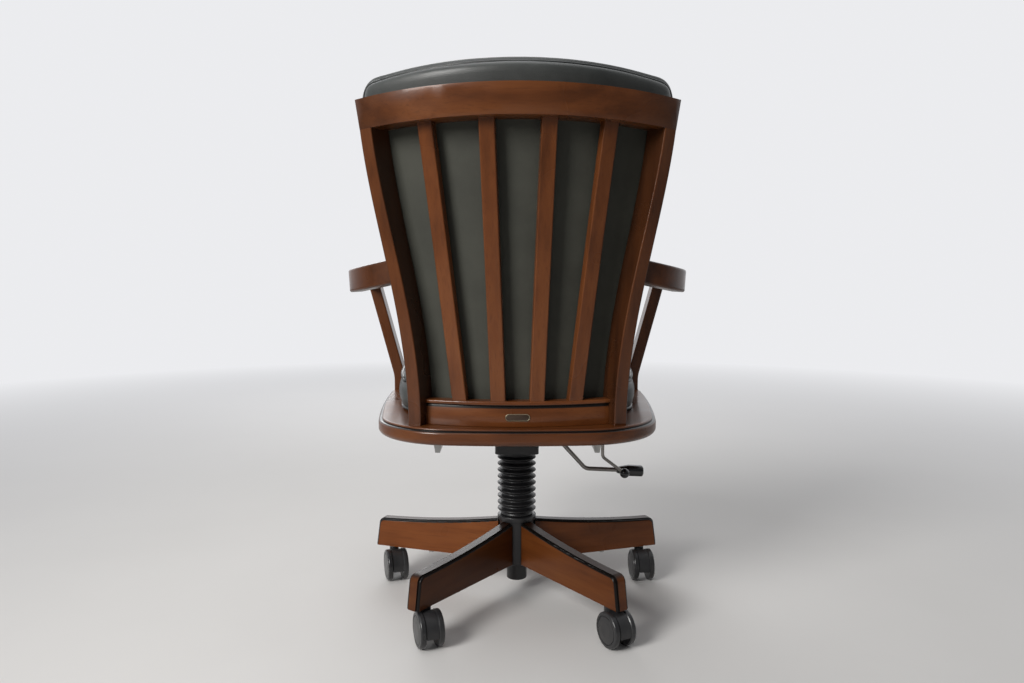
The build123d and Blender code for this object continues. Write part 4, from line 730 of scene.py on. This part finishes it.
low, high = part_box("bellows")
RIBS = 9
CUFF = 0.004
CUFF_FLAT = CUFF * 0.8
CUFF_LIP = 0.0012
CUFF_R, CUFF_LIP_R = 0.0300, 0.0305
SLEEVE_BORE_R = 0.0255
rib_profile = [
    (SLEEVE_BORE_R, low.z),
    (CUFF_R, low.z),
    (CUFF_LIP_R, low.z + CUFF_LIP),
    (CUFF_R, low.z + CUFF_FLAT),
]
pitch = (high.z - low.z - 2 * CUFF) / RIBS
for rib in range(RIBS):
    foot = low.z + CUFF + rib * pitch
    for share, radius in (
        (0.06, 0.0282), (0.16, 0.0292), (0.28, 0.0326), (0.38, 0.0354), (0.46, 0.0364), (0.54, 0.0364),
        (0.62, 0.0354), (0.72, 0.0326), (0.84, 0.0292), (0.94, 0.0282),
    ):
        rib_profile.append((radius, foot + share * pitch))
rib_profile += [
    (CUFF_R, high.z - CUFF_FLAT),
    (CUFF_LIP_R, high.z - CUFF_LIP),
    (CUFF_R, high.z),
    (SLEEVE_BORE_R, high.z),
]
inner = [(SLEEVE_BORE_R, high.z - (high.z - low.z) * step / 40) for step in range(1, 40)]
rib_profile += inner
AROUND = 72
sleeve_vertices = [
    (radius * math.cos(2 * math.pi * step / AROUND), radius * math.sin(2 * math.pi * step / AROUND), z)
    for radius, z in rib_profile
    for step in range(AROUND)
]
sleeve_faces = []
for level in range(len(rib_profile)):
    above = (level + 1) % len(rib_profile)
    for step in range(AROUND):
        after = (step + 1) % AROUND
        sleeve_faces.append(
            (level * AROUND + step, level * AROUND + after, above * AROUND + after, above * AROUND + step)
        )
sleeve = mesh_object("bellows_sleeve", sleeve_vertices, sleeve_faces, mat_rubber)
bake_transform(sleeve)
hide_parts("bellows")


# Bare oval plate on the bottom rail: a raised rim round an enamel ground

RAIL_REAR_R = BACK_R - 0.018
PLATE_MIDDLE_Z = 0.3815
PLATE_HALF, PLATE_END = 0.0197, 0.0058


def plate_ring(inset, proud, count=72):
    half, end = PLATE_HALF - PLATE_END, PLATE_END - inset
    points = []
    for step in range(count):
        turn = 2 * math.pi * step / count
        across = (half if math.cos(turn) >= 0 else -half) + end * math.cos(turn)
        angle = across / RAIL_REAR_R
        radius = RAIL_REAR_R + proud
        points.append(
            (
                radius * math.sin(angle),
                float(back_y(SEAT_TOP)) + BACK_R - radius * math.cos(angle),
                PLATE_MIDDLE_Z + end * math.sin(turn),
            )
        )
    return np.array(points)


rim_layers = ((0, 0.0), (0, 0.0009), (0.0002, 0.0011), (0.0009, 0.0011), (0.0011, 0.0009), (0.0011, 0.0004))
plate = ring_mesh("bare_plate", [plate_ring(*layer) for layer in rim_layers], mat_plate)
dress(plate, "seat", "zinc_steel")
ground_layers = ((0.0011, 0.0002), (0.0011, 0.0006), (0.0014, 0.0007))
ground = ring_mesh("bare_plate_ground", [plate_ring(*layer) for layer in ground_layers], mat_plate_ground)
dress(ground, "seat", "black_plastic")


# Eased edges on the rigid pieces
for name in ("top_rail", "bottom_rail"):
    soften(name, 0.0014)
soften("bottom_rail_cap", 0.0008)
for name in ("tilt_plate", "tilt_housing", "seat_rails", "base_hub"):
    soften(name, 0.0006)


# Floor, light and surroundings

BACKDROP = (0.97, 0.975, 1.0)
BACKDROP_STRENGTH = 0.86
ROOM_STRENGTH = 0.17
FLOOR_FADE = (0.8, 4.0)

floor_mesh = bpy.data.meshes.new("floor")
floor_mesh.from_pydata([(-9, -9, 0), (9, -9, 0), (9, 9, 0), (-9, 9, 0)], [], [(0, 1, 2, 3)])
floor = bpy.data.objects.new("floor", floor_mesh)
scene.collection.objects.link(floor)
floor_shader = Shader("pale_floor", 0.8, Specular_IOR_Level=0.1)
floor_tone = floor_shader.noise(floor_shader.place, 1.5)
floor_stops = ((0.3, (0.70, 0.69, 0.68)), (0.7, (0.73, 0.72, 0.71)))
floor_shader.use("Base Color", floor_shader.ramp(floor_tone, *floor_stops))
# Far from the chair the floor runs into the backdrop
distance = floor_shader.node("ShaderNodeVectorMath", {0: floor_shader.place}, operation="LENGTH")
fade = floor_shader.remap(distance.outputs["Value"], *FLOOR_FADE, 0, 1)
floor_seen = floor_shader.node("ShaderNodeLightPath").outputs["Is Camera Ray"]
glow = floor_shader.node("ShaderNodeEmission", {"Color": (*BACKDROP, 1), "Strength": BACKDROP_STRENGTH})
blended = floor_shader.node(
    "ShaderNodeMixShader",
    {0: floor_shader.math("MULTIPLY", fade, floor_seen), 1: floor_shader.bsdf.outputs[0], 2: glow.outputs[0]},
)
floor_output = floor_shader.tree.nodes["Material Output"]
floor_shader.tree.links.new(blended.outputs[0], floor_output.inputs["Surface"])
floor_mesh.materials.append(floor_shader.material)

# The camera sees a pale backdrop all round.
# Reflections see it beyond the chair, and a dim room behind the camera.
world = bpy.data.worlds.new("studio")
world.use_nodes = True
tree = world.node_tree


def world_node(kind, inputs):
    made = tree.nodes.new(kind)
    for key, value in inputs.items():
        if isinstance(value, bpy.types.NodeSocket):
            tree.links.new(value, made.inputs[key])
        else:
            made.inputs[key].default_value = value
    return made.outputs


path = tree.nodes.new("ShaderNodeLightPath").outputs
towards = world_node("ShaderNodeSeparateXYZ", {0: tree.nodes.new("ShaderNodeTexCoord").outputs["Generated"]})
mirrored = world_node(
    "ShaderNodeMapRange",
    {
        "Value": towards["Y"],
        "From Min": -0.3,
        "From Max": 0.5,
        "To Min": ROOM_STRENGTH,
        "To Max": BACKDROP_STRENGTH,
    },
)[0]
reflecting = world_node("ShaderNodeMath", {0: path["Is Glossy Ray"], 1: path["Is Transmission Ray"]})[0]
unseen = world_node(
    "ShaderNodeMapRange", {"Value": reflecting, "To Min": ROOM_STRENGTH, "To Max": mirrored}
)[0]
strength = world_node(
    "ShaderNodeMapRange", {"Value": path["Is Camera Ray"], "To Min": unseen, "To Max": BACKDROP_STRENGTH}
)[0]
background = tree.nodes["Background"]
tree.links.new(strength, background.inputs["Strength"])
background.inputs["Color"].default_value = (*BACKDROP, 1)
scene.world = world


def lamp(name, place, aim, size, watts, spread=180, colour=(1, 1, 1)):
    data = bpy.data.lights.new(name, "AREA")
    data.shape = "RECTANGLE"
    data.size, data.size_y = size
    data.energy = watts
    data.spread = math.radians(spread)
    data.color = colour
    made = bpy.data.objects.new(name, data)
    made.location = place
    made.rotation_euler = (Vector(aim) - Vector(place)).to_track_quat("-Z", "Y").to_euler()
    scene.collection.objects.link(made)


lamp("key", (-2.0, -2.3, 1.95), (0, -0.1, 0.55), (1.2, 1.4), 22, 80, (1.0, 0.985, 0.96))
lamp("top", (-0.3, -0.2, 2.8), (0, 0, 0.4), (1.8, 1.8), 18)
lamp("front_fill", (-0.6, 2.6, 1.8), (0, 0, 0.5), (1.6, 1.6), 30)

scene.view_settings.view_transform = "Standard"
